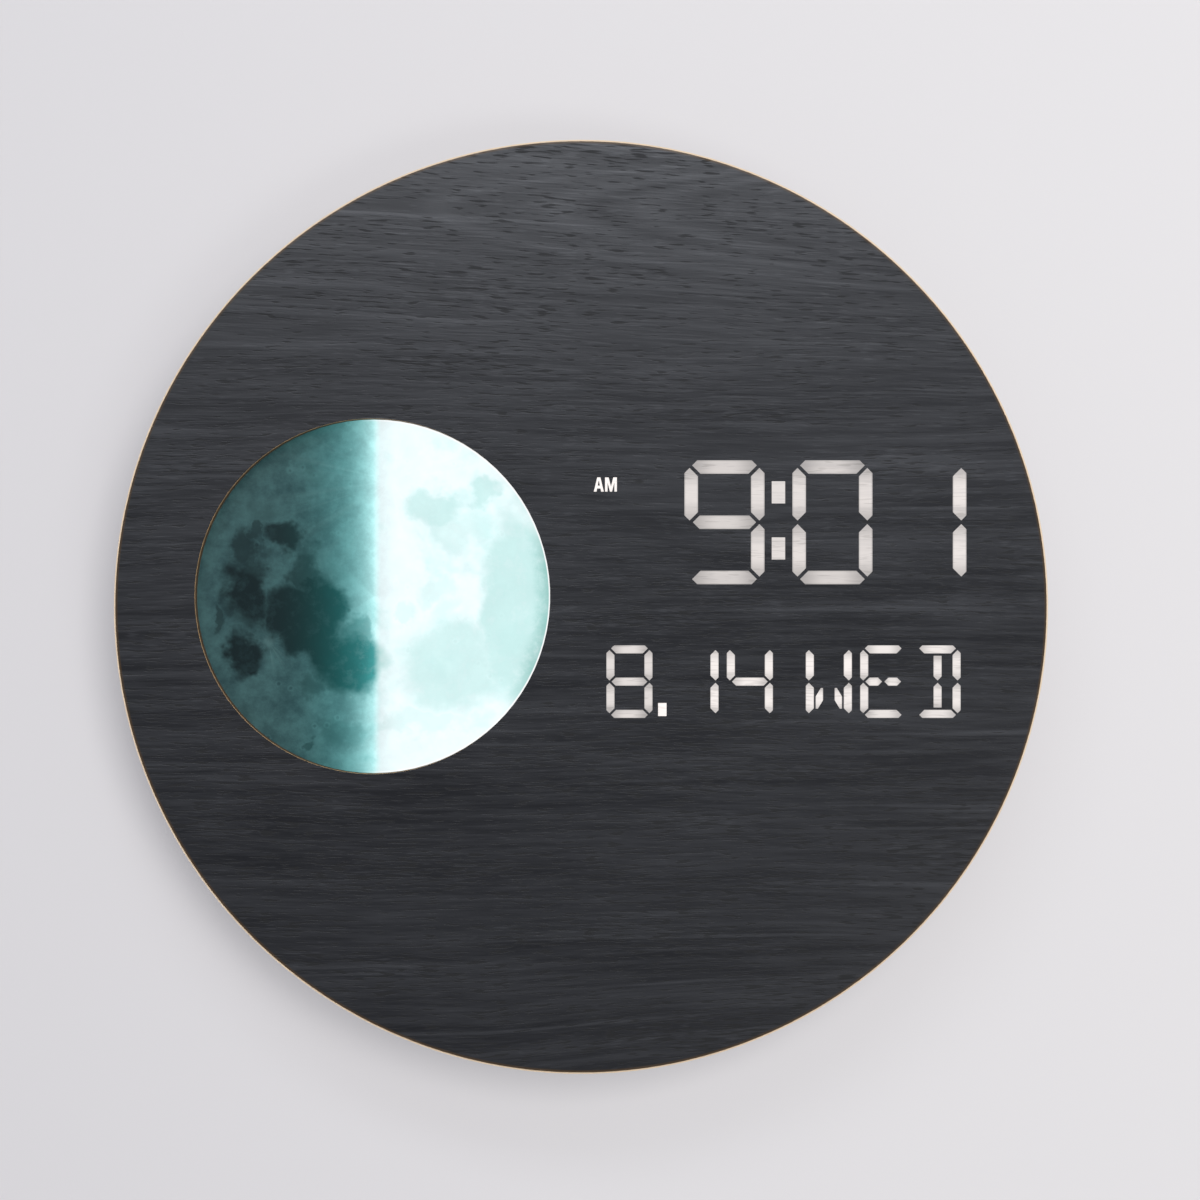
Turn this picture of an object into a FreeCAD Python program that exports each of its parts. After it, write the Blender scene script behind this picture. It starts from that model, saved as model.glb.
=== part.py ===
import FreeCAD, Part
import math
import os

# Round wall clock with a lit moon window and a lit time and date display.
# The origin is the centre of the flat back that lies on the wall. +Z is up, +X is to the
# right of somebody who reads the clock, and the face looks along -Y. All sizes are millimetres.

# The round wooden face
FACE_D = 300.0
BOARD_T = 5.0
FILM_T = 0.4
RIM_BARE = 0.5

# The moulded housing behind it
CONTENTS_CLEARANCE = 1.23
CONNECTOR_ROOM = 1.5
HOUSING_WALL = 2.4
HOUSING_FLOOR = 2.5
HOUSING_CHAMFER = 4.0
FLAT_CUT = 6.0
RIB_T = 1.4
RIB_H = 2.5
RIB_COUNT = 8
RIB_INNER_R = 88.0
VENT_COUNT = 9
VENT_W = 2.4
VENT_L = 26.0
VENT_PITCH = 6.0
VENT_INSET = 30.0

# Columns that the board is screwed to from behind
COLUMN_R = 5.0
COLUMN_INSET = 11.0
COLUMN_ANGLES = (45.0, 135.0, 225.0, 315.0)
COLUMN_SEAT = 4.0
WELL_R = 3.6

# Moon window, left of the display
MOON_GAP = 2.38
MOON_Z = 3.4
MOON_HOLE_R = 57.1
LENS_LAP = 4.4
LENS_T = 3.0
LENS_SIDES = 8
LIGHT_BOX_DEPTH = 10.0
CAVITY_MARGIN = 1.4
PHASE_WELLS = 6
LIMB_ANGLE = 90.0
PHASE_WALL = 1.4
CAVITY_LATITUDE = 68.0
MOON_LED_ANGLES = (-40.0, -20.0, 0.0, 20.0, 40.0)
MOON_POST_INSET = 5.5
MOON_POST_ANGLES = (30.0, 150.0, 210.0, 330.0)

# Time row: four seven-segment digits, a colon and two word windows
TIME_TOP = 47.2
TIME_H = 40.1
TIME_W = 26.0
TIME_STROKE = 4.65
TIME_GAP = 1.15
TIME_LEFT = 2.9
TIME_SPACE = 4.15
COLON_SPACE = 4.5
COLON_W = 4.5
COLON_H = 7.1
COLON_RISE = 9.0
WORD_W = 8.6
WORD_LEFT = 0.8
WORD_GAP = 0.5
WORD_COUNT = 2

# Date row: month, day and weekday
DATE_TOP = -12.2
DATE_H = 23.6
DATE_W = 15.1
DATE_STROKE = 2.9
DATE_GAP = 0.75
DATE_LEFT = 8.0
DATE_SPACE = 2.35
DATE_ONE_SPACE = 2.8
WEEKDAY_SPACE = 10.25
DOT_GAP = 1.6
DOT_W = 2.9
DOT_H = 4.6
TIP = 0.38
SLASH_TIP = 0.35

# Display stack behind the window in the board
DIFFUSER_T = 0.5
DISPLAY_MARGIN = 2.0
WINDOW_CORNER = 2.0
MASK_REACH = 5.5
MASK_PLATE_T = 2.0
MASK_FLANGE_T = 2.0
MASK_LAP = 2.5
FIT = 0.2
POCKET_RIM = 1.5
BRIDGE_COUNT = 4
BRIDGE_W = 8.0
POST_W = 7.0
POST_T = 1.6
POST_INSET = 4.5

# Circuit boards and what stands on them
PCB_T = 1.6
LED_L = 3.5
LED_W = 2.8
SLIM_LED_L = 3.0
SLIM_LED_W = 1.4
SMALL_LED_L = 1.6
SMALL_LED_W = 0.8
LED_H = 0.8
CHIP_L = 18.0
CHIP_W = 7.5
CHIP_H = 2.4
CONNECTOR_W = 12.0
CONNECTOR_L = 6.0
CONNECTOR_H = 4.0
RIBBON_W = 10.0
RIBBON_T = 0.9
RIBBON_LEAD = 4.0
DISPLAY_RIBBON_X = 24.0
MOON_RIBBON_X = -31.0
CONNECTOR_INSET = 1.0
STAKE_W = 2.0
STAKE_HEAD_W = 3.4
STAKE_HEAD_H = 0.8
STAKE_CLEARANCE = 0.1

# Control board at the flat bottom of the housing
CONTROL_HALF_W = 38.0
CONTROL_H = 37.2
CONTROL_STANDOFF = 5.5
CONTROL_POST_W = 5.0
CONTROL_POST_INSET = 5.0
CONTROL_POST_DROP = 4.0
CONTROL_POST_RISE = 10.2
CONTROL_POST_X = 12.0
CELL_D = 20.0
CELL_T = 3.2
CELL_X = 6.0
CELL_RISE = 17.7
STRAP_W = 8.0
STRAP_T = 0.4
STRAP_FOOT = 2.5
BUZZER_D = 12.0
BUZZER_H = 8.5
COMPONENT_GAP = 0.9
BUZZER_RISE = 21.2
CAPACITOR_D = 6.3
CAPACITOR_H = 7.7
CAPACITOR_X = -30.0
CAPACITOR_RISE = 23.0
CONTROLLER_SIDE = 10.0
CONTROLLER_H = 1.5
CONTROLLER_X = -16.0
CONTROLLER_RISE = 17.0
CRYSTAL_L = 7.0
CRYSTAL_W = 2.4
CRYSTAL_X = -16.0
CRYSTAL_RISE = 26.0

# Buttons on the flat bottom
BUTTON_NAMES = ("set", "down", "up", "moon")
BUTTON_FIRST_X = -30.0
BUTTON_PITCH = 12.0
BUTTON_TRAVEL = 0.5
CAP_W = 8.0
CAP_H = 5.0
CAP_CORNER = 1.0
CAP_PROUD = 1.4
CAP_BEVEL = 0.5
CAP_LIP = 1.0
CAP_FLANGE_T = 1.0
CAP_CLEARANCE = 0.3
STOP_GAP = 0.1
SWITCH_W = 6.2
SWITCH_H = 3.5
SWITCH_L = 3.6
PLUNGER_W = 3.0
PLUNGER_H = 1.4
PLUNGER_PROUD = 1.2
PLUNGER_HIDDEN = 1.0
PLUNGER_CLEARANCE = 0.1

# Power socket beside the buttons
SOCKET_X = 25.0
SOCKET_W = 8.94
SOCKET_H = 3.26
SOCKET_L = 7.35
SOCKET_WALL = 0.3
SOCKET_CORNER = 1.5
SOCKET_SETBACK = 0.2
TONGUE_W = 6.6
TONGUE_T = 0.7
TONGUE_SHORT = 0.9
PORT_W = 13.0
PORT_H = 7.0
PORT_CORNER = 1.5

# Keyhole hangers let into the back
HANGER_X = 60.0
HANGER_GAP = 2.9
HANGER_W = 22.0
HANGER_H = 36.0
HANGER_T = 1.2
HANGER_CORNER = 1.5
HANGER_FIT = 0.2
HANGER_POCKET_W = 14.0
HANGER_POCKET_H = 23.0
HANGER_POCKET_DEPTH = 6.0
HANGER_WALL = 2.0
ENTRY_R = 4.5
ENTRY_DROP = 4.5
SLOT_W = 5.0
SLOT_RISE = 6.0


# Shapes in the plane of the face

def point(x, z, y=0.0):
    return FreeCAD.Vector(x, y, z)


def polygon(corners, y):
    ring = [point(x, z, y) for x, z in corners]
    return Part.makePolygon(ring + ring[:1])


def circle(x, z, radius, y):
    ring = Part.Circle(point(x, z, y), FreeCAD.Vector(0, 1, 0), radius)
    return Part.Wire(ring.toShape())


def rounded_box(x0, x1, z0, z1, radius, y):
    if radius <= 0:
        return polygon(((x0, z0), (x1, z0), (x1, z1), (x0, z1)), y)
    bulge = radius * (1 - math.sqrt(0.5))
    corners = (((x0, z0 + radius), (x0 + bulge, z0 + bulge), (x0 + radius, z0)),
               ((x1 - radius, z0), (x1 - bulge, z0 + bulge), (x1, z0 + radius)),
               ((x1, z1 - radius), (x1 - bulge, z1 - bulge), (x1 - radius, z1)),
               ((x0 + radius, z1), (x0 + bulge, z1 - bulge), (x0, z1 - radius)))
    edges = []
    for index, corner in enumerate(corners):
        start, middle, end = [point(x, z, y) for x, z in corner]
        after = point(*corners[(index + 1) % 4][0], y)
        edges.append(Part.Arc(start, middle, end).toShape())
        if (after - end).Length > 1e-6:
            edges.append(Part.LineSegment(end, after).toShape())
    return Part.Wire(edges)


def clipped_box(x0, x1, z0, z1, clip, y):
    return polygon(((x0 + clip, z0), (x1 - clip, z0), (x1, z0 + clip), (x1, z1 - clip),
                    (x1 - clip, z1), (x0 + clip, z1), (x0, z1 - clip), (x0, z0 + clip)), y)


def even_sides(x, z, inner_radius, count, y):
    reach = inner_radius / math.cos(math.pi / count)
    return polygon(around(reach, [360 * (index + 0.5) / count for index in range(count)], x, z), y)


def cut_circle(radius, drop, y):
    reach = math.sqrt(radius ** 2 - drop ** 2)
    left = point(-reach, -drop, y)
    right = point(reach, -drop, y)
    arc = Part.Arc(right, point(0, radius, y), left).toShape()
    return Part.Wire([arc, Part.LineSegment(left, right).toShape()])


def plate(wires, depth):
    face = Part.makeFace(Part.makeCompound(wires), "Part::FaceMakerBullseye")
    return face.extrude(FreeCAD.Vector(0, depth, 0))


def rod(x, z, radius, y0, y1):
    return Part.makeCylinder(radius, y1 - y0, point(x, z, y0), FreeCAD.Vector(0, 1, 0))


def block(x0, x1, y0, y1, z0, z1):
    return Part.makeBox(x1 - x0, y1 - y0, z1 - z0, FreeCAD.Vector(x0, y0, z0))


def joined(solids):
    first, *others = solids
    return first.fuse(others).removeSplitter() if others else first


def group(solids):
    return Part.makeCompound(solids)


def around(radius, angles, x=0.0, z=0.0):
    turns = [math.radians(angle) for angle in angles]
    return [(x + radius * math.cos(turn), z + radius * math.sin(turn)) for turn in turns]


def square(x, z, side, y0, y1):
    return block(x - side / 2, x + side / 2, y0, y1, z - side / 2, z + side / 2)


def stake(x, z, seat, board_t, toward):
    """A square moulded pin that goes through a circuit board and is melted to a head behind it."""
    face = seat + toward * board_t
    pin = square(x, z, STAKE_W, *sorted((seat, face)))
    head = square(x, z, STAKE_HEAD_W, *sorted((face, face + toward * STAKE_HEAD_H)))
    return pin.fuse(head)


def stake_hole(x, z, y):
    half = STAKE_W / 2 + STAKE_CLEARANCE
    return rounded_box(x - half, x + half, z - half, z + half, 0, y)


def turned_up(wires, y, z, height):
    """Outlines drawn about y and z of zero in the plane of the face, laid flat and raised along Z."""
    face = Part.makeFace(Part.makeCompound(wires), "Part::FaceMakerBullseye")
    face.rotate(FreeCAD.Vector(0, 0, 0), FreeCAD.Vector(1, 0, 0), 90)
    face.translate(FreeCAD.Vector(0, y, z))
    return face.extrude(FreeCAD.Vector(0, 0, height))


# Segment outlines, measured from a character's top left corner, across and then down

def top_bar(width, stroke, gap):
    tip = TIP * stroke
    start = gap / math.sqrt(2)
    return [(start + tip, tip), (start + 2 * tip, 0), (width - start - 2 * tip, 0),
            (width - start - tip, tip), (width - start - stroke, stroke), (start + stroke, stroke)]


def upper_left_bar(half, stroke, gap):
    tip = TIP * stroke
    start = gap / math.sqrt(2)
    end = half - gap / 2
    return [(tip, start + tip), (0, start + 2 * tip), (0, end - tip),
            (tip, end), (stroke, end - (stroke - tip)), (stroke, start + stroke)]


def middle_bar(left, right, half, stroke):
    return [(left, half), (left + stroke / 2, half - stroke / 2),
            (right - stroke / 2, half - stroke / 2), (right, half),
            (right - stroke / 2, half + stroke / 2), (left + stroke / 2, half + stroke / 2)]


def centre_bar(width, half, stroke, gap):
    end = half - gap / 2
    start = stroke + gap
    left = (width - stroke) / 2
    right = (width + stroke) / 2
    return [(left, start), (right, start), (right, end - stroke / 2),
            (width / 2, end), (left, end - stroke / 2)]


def slash_bar(width, half, stroke, gap):
    left = stroke + gap / 2
    right = (width - stroke) / 2 - gap / 2
    high = half + stroke / 2 + gap
    low = 2 * half - stroke - gap
    tip = SLASH_TIP * (right - left)
    thick = stroke * 0.8
    return [(right - tip, high), (right, high), (right, high + thick),
            (left + tip, low), (left, low), (left, low - thick)]


def mirror_across(bar, width):
    return [(width - u, v) for u, v in bar]


def mirror_down(bar, height):
    return [(u, height - v) for u, v in bar]


def middle_inset(stroke, gap):
    return TIP * stroke - gap / 2 + math.sqrt(2) * gap


def seven_bars(width, height, stroke, gap):
    half = height / 2
    top = top_bar(width, stroke, gap)
    left = upper_left_bar(half, stroke, gap)
    right = mirror_across(left, width)
    inset = middle_inset(stroke, gap)
    return {"a": top, "b": right, "c": mirror_down(right, height), "d": mirror_down(top, height),
            "e": mirror_down(left, height), "f": left,
            "g": middle_bar(inset, width - inset, half, stroke)}


def fourteen_bars(width, height, stroke, gap):
    half = height / 2
    bars = seven_bars(width, height, stroke, gap)
    bars.pop("g")
    left = middle_bar(middle_inset(stroke, gap), (width - gap) / 2, half, stroke)
    upper = centre_bar(width, half, stroke, gap)
    slash = slash_bar(width, half, stroke, gap)
    back_slash = mirror_across(slash, width)
    bars.update({"g1": left, "g2": mirror_across(left, width), "i": upper,
                 "l": mirror_down(upper, height), "k": slash, "m": back_slash,
                 "h": mirror_down(slash, height), "j": mirror_down(back_slash, height)})
    return bars


def box_bar(width, height):
    return [(0, 0), (width, 0), (width, height), (0, height)]


def placed(bar, left, top):
    return [(left + u, top - v) for u, v in bar]


# Where each character stands

def time_lefts():
    lefts = [TIME_LEFT + (TIME_W + TIME_SPACE) * index for index in range(4)]
    return lefts[:2] + [left + COLON_SPACE for left in lefts[2:]]


def dot_left():
    return DATE_LEFT + DATE_W + DOT_GAP


def date_lefts():
    day = dot_left() + DOT_W + DOT_GAP
    return DATE_LEFT, day, day + DATE_W + DATE_SPACE


def weekday_lefts():
    first = date_lefts()[-1] + DATE_W + WEEKDAY_SPACE
    return [first + (DATE_W + DATE_SPACE) * index for index in range(3)]


def time_cells():
    bars = seven_bars(TIME_W, TIME_H, TIME_STROKE, TIME_GAP)
    first, *others = time_lefts()
    cells = [placed(bar, first, TIME_TOP) for name, bar in bars.items() if name != "f"]
    for left in others:
        cells += [placed(bar, left, TIME_TOP) for bar in bars.values()]
    gap_middle = (others[0] + TIME_W + others[1]) / 2
    for rise in (COLON_RISE, -COLON_RISE):
        top = TIME_TOP - TIME_H / 2 + rise + COLON_H / 2
        cells.append(placed(box_bar(COLON_W, COLON_H), gap_middle - COLON_W / 2, top))
    return cells


def word_cells():
    """The word windows share the room between the top and middle bars of the first digit."""
    high = TIME_TOP - TIME_STROKE
    low = TIME_TOP - TIME_H / 2 + TIME_STROKE / 2
    step = (high - low - WORD_GAP) / WORD_COUNT
    left = TIME_LEFT + WORD_LEFT - TIME_STROKE / 2
    window = box_bar(WORD_W, step - WORD_GAP)
    return [placed(window, left, high - WORD_GAP - step * index) for index in range(WORD_COUNT)]


def date_cells():
    seven = seven_bars(DATE_W, DATE_H, DATE_STROKE, DATE_GAP)
    fourteen = fourteen_bars(DATE_W, DATE_H, DATE_STROKE, DATE_GAP)
    one_left = DATE_LEFT - DATE_ONE_SPACE - DATE_W
    cells = [placed(seven[name], one_left, DATE_TOP) for name in ("b", "c")]
    for left in date_lefts():
        cells += [placed(bar, left, DATE_TOP) for bar in seven.values()]
    for left in weekday_lefts():
        cells += [placed(bar, left, DATE_TOP) for bar in fourteen.values()]
    dot = placed(box_bar(DOT_W, DOT_H), dot_left(), DATE_TOP - DATE_H + DOT_H)
    return cells + [dot]


def all_cells():
    return time_cells() + word_cells() + date_cells()


def display_box(margin):
    across = [x for cell in all_cells() for x, z in cell]
    up = [z for cell in all_cells() for x, z in cell]
    return min(across) - margin, max(across) + margin, min(up) - margin, max(up) + margin


def contents_reach():
    """How far the corners of the display and of the moon's lens lie from the middle of the face."""
    low_x, high_x, low_z, high_z = display_box(DISPLAY_MARGIN + MASK_LAP)
    display = max(math.hypot(x, z) for x in (low_x, high_x) for z in (low_z, high_z))
    side = LENS_R * math.tan(math.pi / LENS_SIDES)
    moon = math.hypot(MOON_X - LENS_R, abs(MOON_Z) + side)
    return max(display, moon)


# Sizes of the moon parts
LENS_R = MOON_HOLE_R + LENS_LAP
MOON_X = display_box(DISPLAY_MARGIN + MASK_LAP)[0] - MOON_GAP - LENS_R
CAVITY_R = MOON_HOLE_R + CAVITY_MARGIN
CAVITY_TOP = CAVITY_R * math.sin(math.radians(CAVITY_LATITUDE))
MOON_STAKE_RISE = (CAVITY_TOP + LENS_R) / 2

# The housing goes round what it holds
HOUSING_R = contents_reach() + CONTENTS_CLEARANCE + HOUSING_WALL
HOUSING_DEPTH = LENS_T + LIGHT_BOX_DEPTH + PCB_T + CONNECTOR_H + CONNECTOR_ROOM + HOUSING_FLOOR
COLUMN_RING_R = HOUSING_R - COLUMN_INSET
VENT_Z = HOUSING_R - VENT_INSET
HANGER_Z = MOON_Z + LENS_R + HANGER_GAP + HANGER_WALL + HANGER_FIT + HANGER_H / 2

# Planes across the depth of the clock
BOARD_REAR = -HOUSING_DEPTH
BOARD_FRONT = BOARD_REAR - BOARD_T
FILM_FRONT = BOARD_FRONT - FILM_T
FLOOR_INNER = -HOUSING_FLOOR
MASK_FRONT = BOARD_FRONT + DIFFUSER_T
MASK_REAR = BOARD_REAR + MASK_REACH
LED_BOARD_REAR = MASK_REAR + PCB_T
LENS_REAR = BOARD_REAR + LENS_T
LIGHT_BOX_REAR = LENS_REAR + LIGHT_BOX_DEPTH
MOON_BOARD_REAR = LIGHT_BOX_REAR + PCB_T
CONTROL_REAR = FLOOR_INNER - CONTROL_STANDOFF
CONTROL_FRONT = CONTROL_REAR - PCB_T

# The flat wall at the bottom and what is lined up behind it
FLAT_OUTER = FLAT_CUT - HOUSING_R
FLAT_INNER = FLAT_OUTER + HOUSING_WALL
FLANGE_LOW = FLAT_INNER + STOP_GAP
FLANGE_TOP = FLANGE_LOW + CAP_FLANGE_T
CONTROL_LOW = FLANGE_TOP + PLUNGER_PROUD
CONTROL_TOP = CONTROL_LOW + CONTROL_H
BUTTON_Y = CONTROL_FRONT - SWITCH_H / 2
SOCKET_Y = CONTROL_FRONT - SOCKET_H / 2
SOCKET_LOW = FLAT_INNER + SOCKET_SETBACK
CELL_STRAP_REACH = CELL_D / 2 + FIT + STRAP_T + STRAP_FOOT
BUZZER_X = CELL_X + CELL_STRAP_REACH + COMPONENT_GAP + BUZZER_D / 2


# The wooden face

def moon_hole(y):
    return circle(MOON_X, MOON_Z, MOON_HOLE_R, y)


def front_film():
    return plate([circle(0, 0, FACE_D / 2 - RIM_BARE, FILM_FRONT), moon_hole(FILM_FRONT)], FILM_T)


def front_board():
    window = clipped_box(*display_box(DISPLAY_MARGIN), WINDOW_CORNER, BOARD_FRONT)
    return plate([circle(0, 0, FACE_D / 2, BOARD_FRONT), moon_hole(BOARD_FRONT), window], BOARD_T)


# The display

def display_diffuser():
    return plate([clipped_box(*display_box(DISPLAY_MARGIN - FIT), WINDOW_CORNER, BOARD_FRONT)], DIFFUSER_T)


def digit_pockets():
    inner = TIME_STROKE + POCKET_RIM
    half = TIME_H / 2
    middle = TIME_STROKE / 2 + POCKET_RIM
    heights = ((inner, half - middle), (half + middle, TIME_H - inner))
    return [(left + inner, left + TIME_W - inner, TIME_TOP - low, TIME_TOP - high)
            for left in time_lefts()[1:] for high, low in heights]


def bridge_lefts():
    low_x, high_x, _, _ = display_box(DISPLAY_MARGIN - FIT)
    step = (high_x - low_x - BRIDGE_W) / (BRIDGE_COUNT - 1)
    return [low_x + step * index for index in range(BRIDGE_COUNT)]


def middle_pockets():
    low = DATE_TOP + POCKET_RIM
    high = TIME_TOP - TIME_H - POCKET_RIM
    lefts = bridge_lefts()
    return [(left + BRIDGE_W, after, low, high) for left, after in zip(lefts, lefts[1:])]


def bridge_places():
    height = (DATE_TOP + TIME_TOP - TIME_H) / 2
    return [(left + BRIDGE_W / 2, height) for left in bridge_lefts()]


def display_mask():
    plug = display_box(DISPLAY_MARGIN - FIT)
    flange = display_box(DISPLAY_MARGIN + MASK_LAP)
    wells_front = MASK_FRONT + MASK_PLATE_T
    plate_wires = [clipped_box(*plug, WINDOW_CORNER, MASK_FRONT)]
    plate_wires += [polygon(cell, MASK_FRONT) for cell in all_cells()]
    well_wires = [clipped_box(*plug, WINDOW_CORNER, wells_front)]
    well_wires += [polygon(cell, wells_front) for cell in all_cells()]
    well_wires += [rounded_box(*pocket, 0, wells_front) for pocket in digit_pockets() + middle_pockets()]
    flange_wires = [clipped_box(*box, WINDOW_CORNER, BOARD_REAR) for box in (flange, plug)]
    body = [plate(plate_wires, MASK_PLATE_T), plate(well_wires, MASK_REAR - wells_front),
            plate(flange_wires, MASK_FLANGE_T)]
    return joined(body + [stake(x, z, MASK_REAR, PCB_T, 1) for x, z in bridge_places()])


def display_led_board():
    edge = clipped_box(*display_box(DISPLAY_MARGIN + MASK_LAP), WINDOW_CORNER, MASK_REAR)
    return plate([edge] + [stake_hole(x, z, MASK_REAR) for x, z in bridge_places()], PCB_T)


def led_under(cell, length, width):
    across = [x for x, z in cell]
    up = [z for x, z in cell]
    x = (min(across) + max(across)) / 2
    z = (min(up) + max(up)) / 2
    upright = max(up) - min(up) > max(across) - min(across)
    half_x, half_z = (width / 2, length / 2) if upright else (length / 2, width / 2)
    return block(x - half_x, x + half_x, MASK_REAR - LED_H, MASK_REAR, z - half_z, z + half_z)


def display_leds():
    large = [led_under(cell, LED_L, LED_W) for cell in time_cells() + word_cells()]
    return group(large + [led_under(cell, SMALL_LED_L, SMALL_LED_W) for cell in date_cells()])


def display_driver_chips():
    chips = []
    for low_x, high_x, low_z, high_z in middle_pockets()[1:]:
        x = (low_x + high_x) / 2
        z = (low_z + high_z) / 2
        chips.append(block(x - CHIP_L / 2, x + CHIP_L / 2, LED_BOARD_REAR, LED_BOARD_REAR + CHIP_H,
                           z - CHIP_W / 2, z + CHIP_W / 2))
    return group(chips)


# The moon

def moon_outline(y):
    return even_sides(MOON_X, MOON_Z, LENS_R, LENS_SIDES, y)


def moon_lens():
    return plate([moon_outline(BOARD_REAR)], LENS_T)


def meridian(longitude, shift, y):
    """One bent wall of a light well: a meridian of the moon, seen from the front as part of an ellipse."""
    lean = math.sin(math.radians(longitude))
    middle = point(MOON_X + shift, MOON_Z, y)
    side = math.sqrt(CAVITY_R ** 2 - CAVITY_TOP ** 2) * lean
    low = middle + point(side, -CAVITY_TOP)
    high = middle + point(side, CAVITY_TOP)
    if abs(lean) < 1e-9:
        return Part.LineSegment(low, high).toShape(), low, high
    if abs(lean) > 1 - 1e-9:
        return Part.Arc(low, middle + point(CAVITY_R * lean, 0), high).toShape(), low, high
    ellipse = Part.Ellipse(middle + point(0, CAVITY_R), middle + point(CAVITY_R * lean, 0), middle)
    start, end = sorted((ellipse.parameter(low), ellipse.parameter(high)))
    if end - start > math.pi:
        start, end = end, start + 2 * math.pi
    return Part.ArcOfEllipse(ellipse, start, end).toShape(), low, high


def phase_longitudes():
    step = 2 * LIMB_ANGLE / PHASE_WELLS
    return [-LIMB_ANGLE + step * index for index in range(PHASE_WELLS + 1)]


def light_well(west, east, y):
    west_shift = 0 if west <= -LIMB_ANGLE else PHASE_WALL / 2
    east_shift = 0 if east >= LIMB_ANGLE else -PHASE_WALL / 2
    west_wall, west_low, west_high = meridian(west, west_shift, y)
    east_wall, east_low, east_high = meridian(east, east_shift, y)
    base = Part.LineSegment(west_low, east_low).toShape()
    roof = Part.LineSegment(west_high, east_high).toShape()
    return Part.Wire(Part.__sortEdges__([west_wall, roof, east_wall, base]))


def moon_stake_places():
    return [(MOON_X, MOON_Z + side * MOON_STAKE_RISE) for side in (1, -1)]


def moon_light_box():
    longitudes = phase_longitudes()
    wells = [light_well(west, east, LENS_REAR) for west, east in zip(longitudes, longitudes[1:])]
    body = plate([moon_outline(LENS_REAR)] + wells, LIGHT_BOX_DEPTH)
    return joined([body] + [stake(x, z, LIGHT_BOX_REAR, PCB_T, 1) for x, z in moon_stake_places()])


def moon_led_board():
    holes = [stake_hole(x, z, LIGHT_BOX_REAR) for x, z in moon_stake_places()]
    return plate([moon_outline(LIGHT_BOX_REAR)] + holes, PCB_T)


def moon_leds():
    leds = []
    longitudes = phase_longitudes()
    for west, east in zip(longitudes, longitudes[1:]):
        lean = (math.sin(math.radians(west)) + math.sin(math.radians(east))) / 2
        for latitude in MOON_LED_ANGLES:
            x = MOON_X + CAVITY_R * lean * math.cos(math.radians(latitude))
            z = MOON_Z + CAVITY_R * math.sin(math.radians(latitude))
            leds.append(block(x - SLIM_LED_W / 2, x + SLIM_LED_W / 2, LIGHT_BOX_REAR - LED_H, LIGHT_BOX_REAR,
                              z - SLIM_LED_L / 2, z + SLIM_LED_L / 2))
    return group(leds)


# The control board and its parts

def control_posts():
    high = CONTROL_TOP - CONTROL_POST_DROP
    low = CONTROL_LOW + CONTROL_POST_RISE
    wide = CONTROL_HALF_W - CONTROL_POST_INSET
    return [(side * x, z) for x, z in ((CONTROL_POST_X, high), (wide, low)) for side in (-1, 1)]


def control_board():
    edge = rounded_box(-CONTROL_HALF_W, CONTROL_HALF_W, CONTROL_LOW, CONTROL_TOP, 0, CONTROL_FRONT)
    return plate([edge] + [stake_hole(x, z, CONTROL_FRONT) for x, z in control_posts()], PCB_T)


def controller_chip():
    return square(CONTROLLER_X, CONTROL_LOW + CONTROLLER_RISE, CONTROLLER_SIDE,
                  CONTROL_FRONT - CONTROLLER_H, CONTROL_FRONT)


def crystal():
    z = CONTROL_LOW + CRYSTAL_RISE
    half_l = CRYSTAL_L / 2
    half_w = CRYSTAL_W / 2
    return block(CRYSTAL_X - half_l, CRYSTAL_X + half_l, CONTROL_FRONT - CRYSTAL_W, CONTROL_FRONT,
                 z - half_w, z + half_w)


def capacitor():
    z = CONTROL_LOW + CAPACITOR_RISE
    return rod(CAPACITOR_X, z, CAPACITOR_D / 2, CONTROL_FRONT - CAPACITOR_H, CONTROL_FRONT)


def buzzer():
    return rod(BUZZER_X, CONTROL_LOW + BUZZER_RISE, BUZZER_D / 2, CONTROL_FRONT - BUZZER_H, CONTROL_FRONT)


def coin_cell():
    return rod(CELL_X, CONTROL_LOW + CELL_RISE, CELL_D / 2, CONTROL_FRONT - CELL_T, CONTROL_FRONT)


def coin_cell_strap():
    """A bent spring strip with two soldered feet that holds the coin cell down."""
    inner = CELL_D / 2 + FIT
    outer = inner + STRAP_T
    foot = CELL_STRAP_REACH
    half = [(inner, 0), (foot, 0), (foot, STRAP_T), (outer, STRAP_T), (outer, CELL_T + STRAP_T)]
    profile = [(inner, CELL_T)] + half + [(-u, v) for u, v in reversed(half)] + [(-inner, CELL_T)]
    low = CONTROL_LOW + CELL_RISE - STRAP_W / 2
    ring = [FreeCAD.Vector(CELL_X + u, CONTROL_FRONT - v, low) for u, v in profile]
    return Part.Face(Part.makePolygon(ring + ring[:1])).extrude(FreeCAD.Vector(0, 0, STRAP_W))


# Connectors and the flat cables between the boards

def display_connector_low():
    return display_box(DISPLAY_MARGIN + MASK_LAP)[2] + CONNECTOR_INSET


def moon_connector_low():
    side = LENS_R * math.tan(math.pi / LENS_SIDES)
    return MOON_Z - LENS_R - side + abs(MOON_RIBBON_X - MOON_X) + CONNECTOR_W / 2 + CONNECTOR_INSET


def connector(x, low, y0, y1):
    return block(x - CONNECTOR_W / 2, x + CONNECTOR_W / 2, y0, y1, low, low + CONNECTOR_L)


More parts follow.
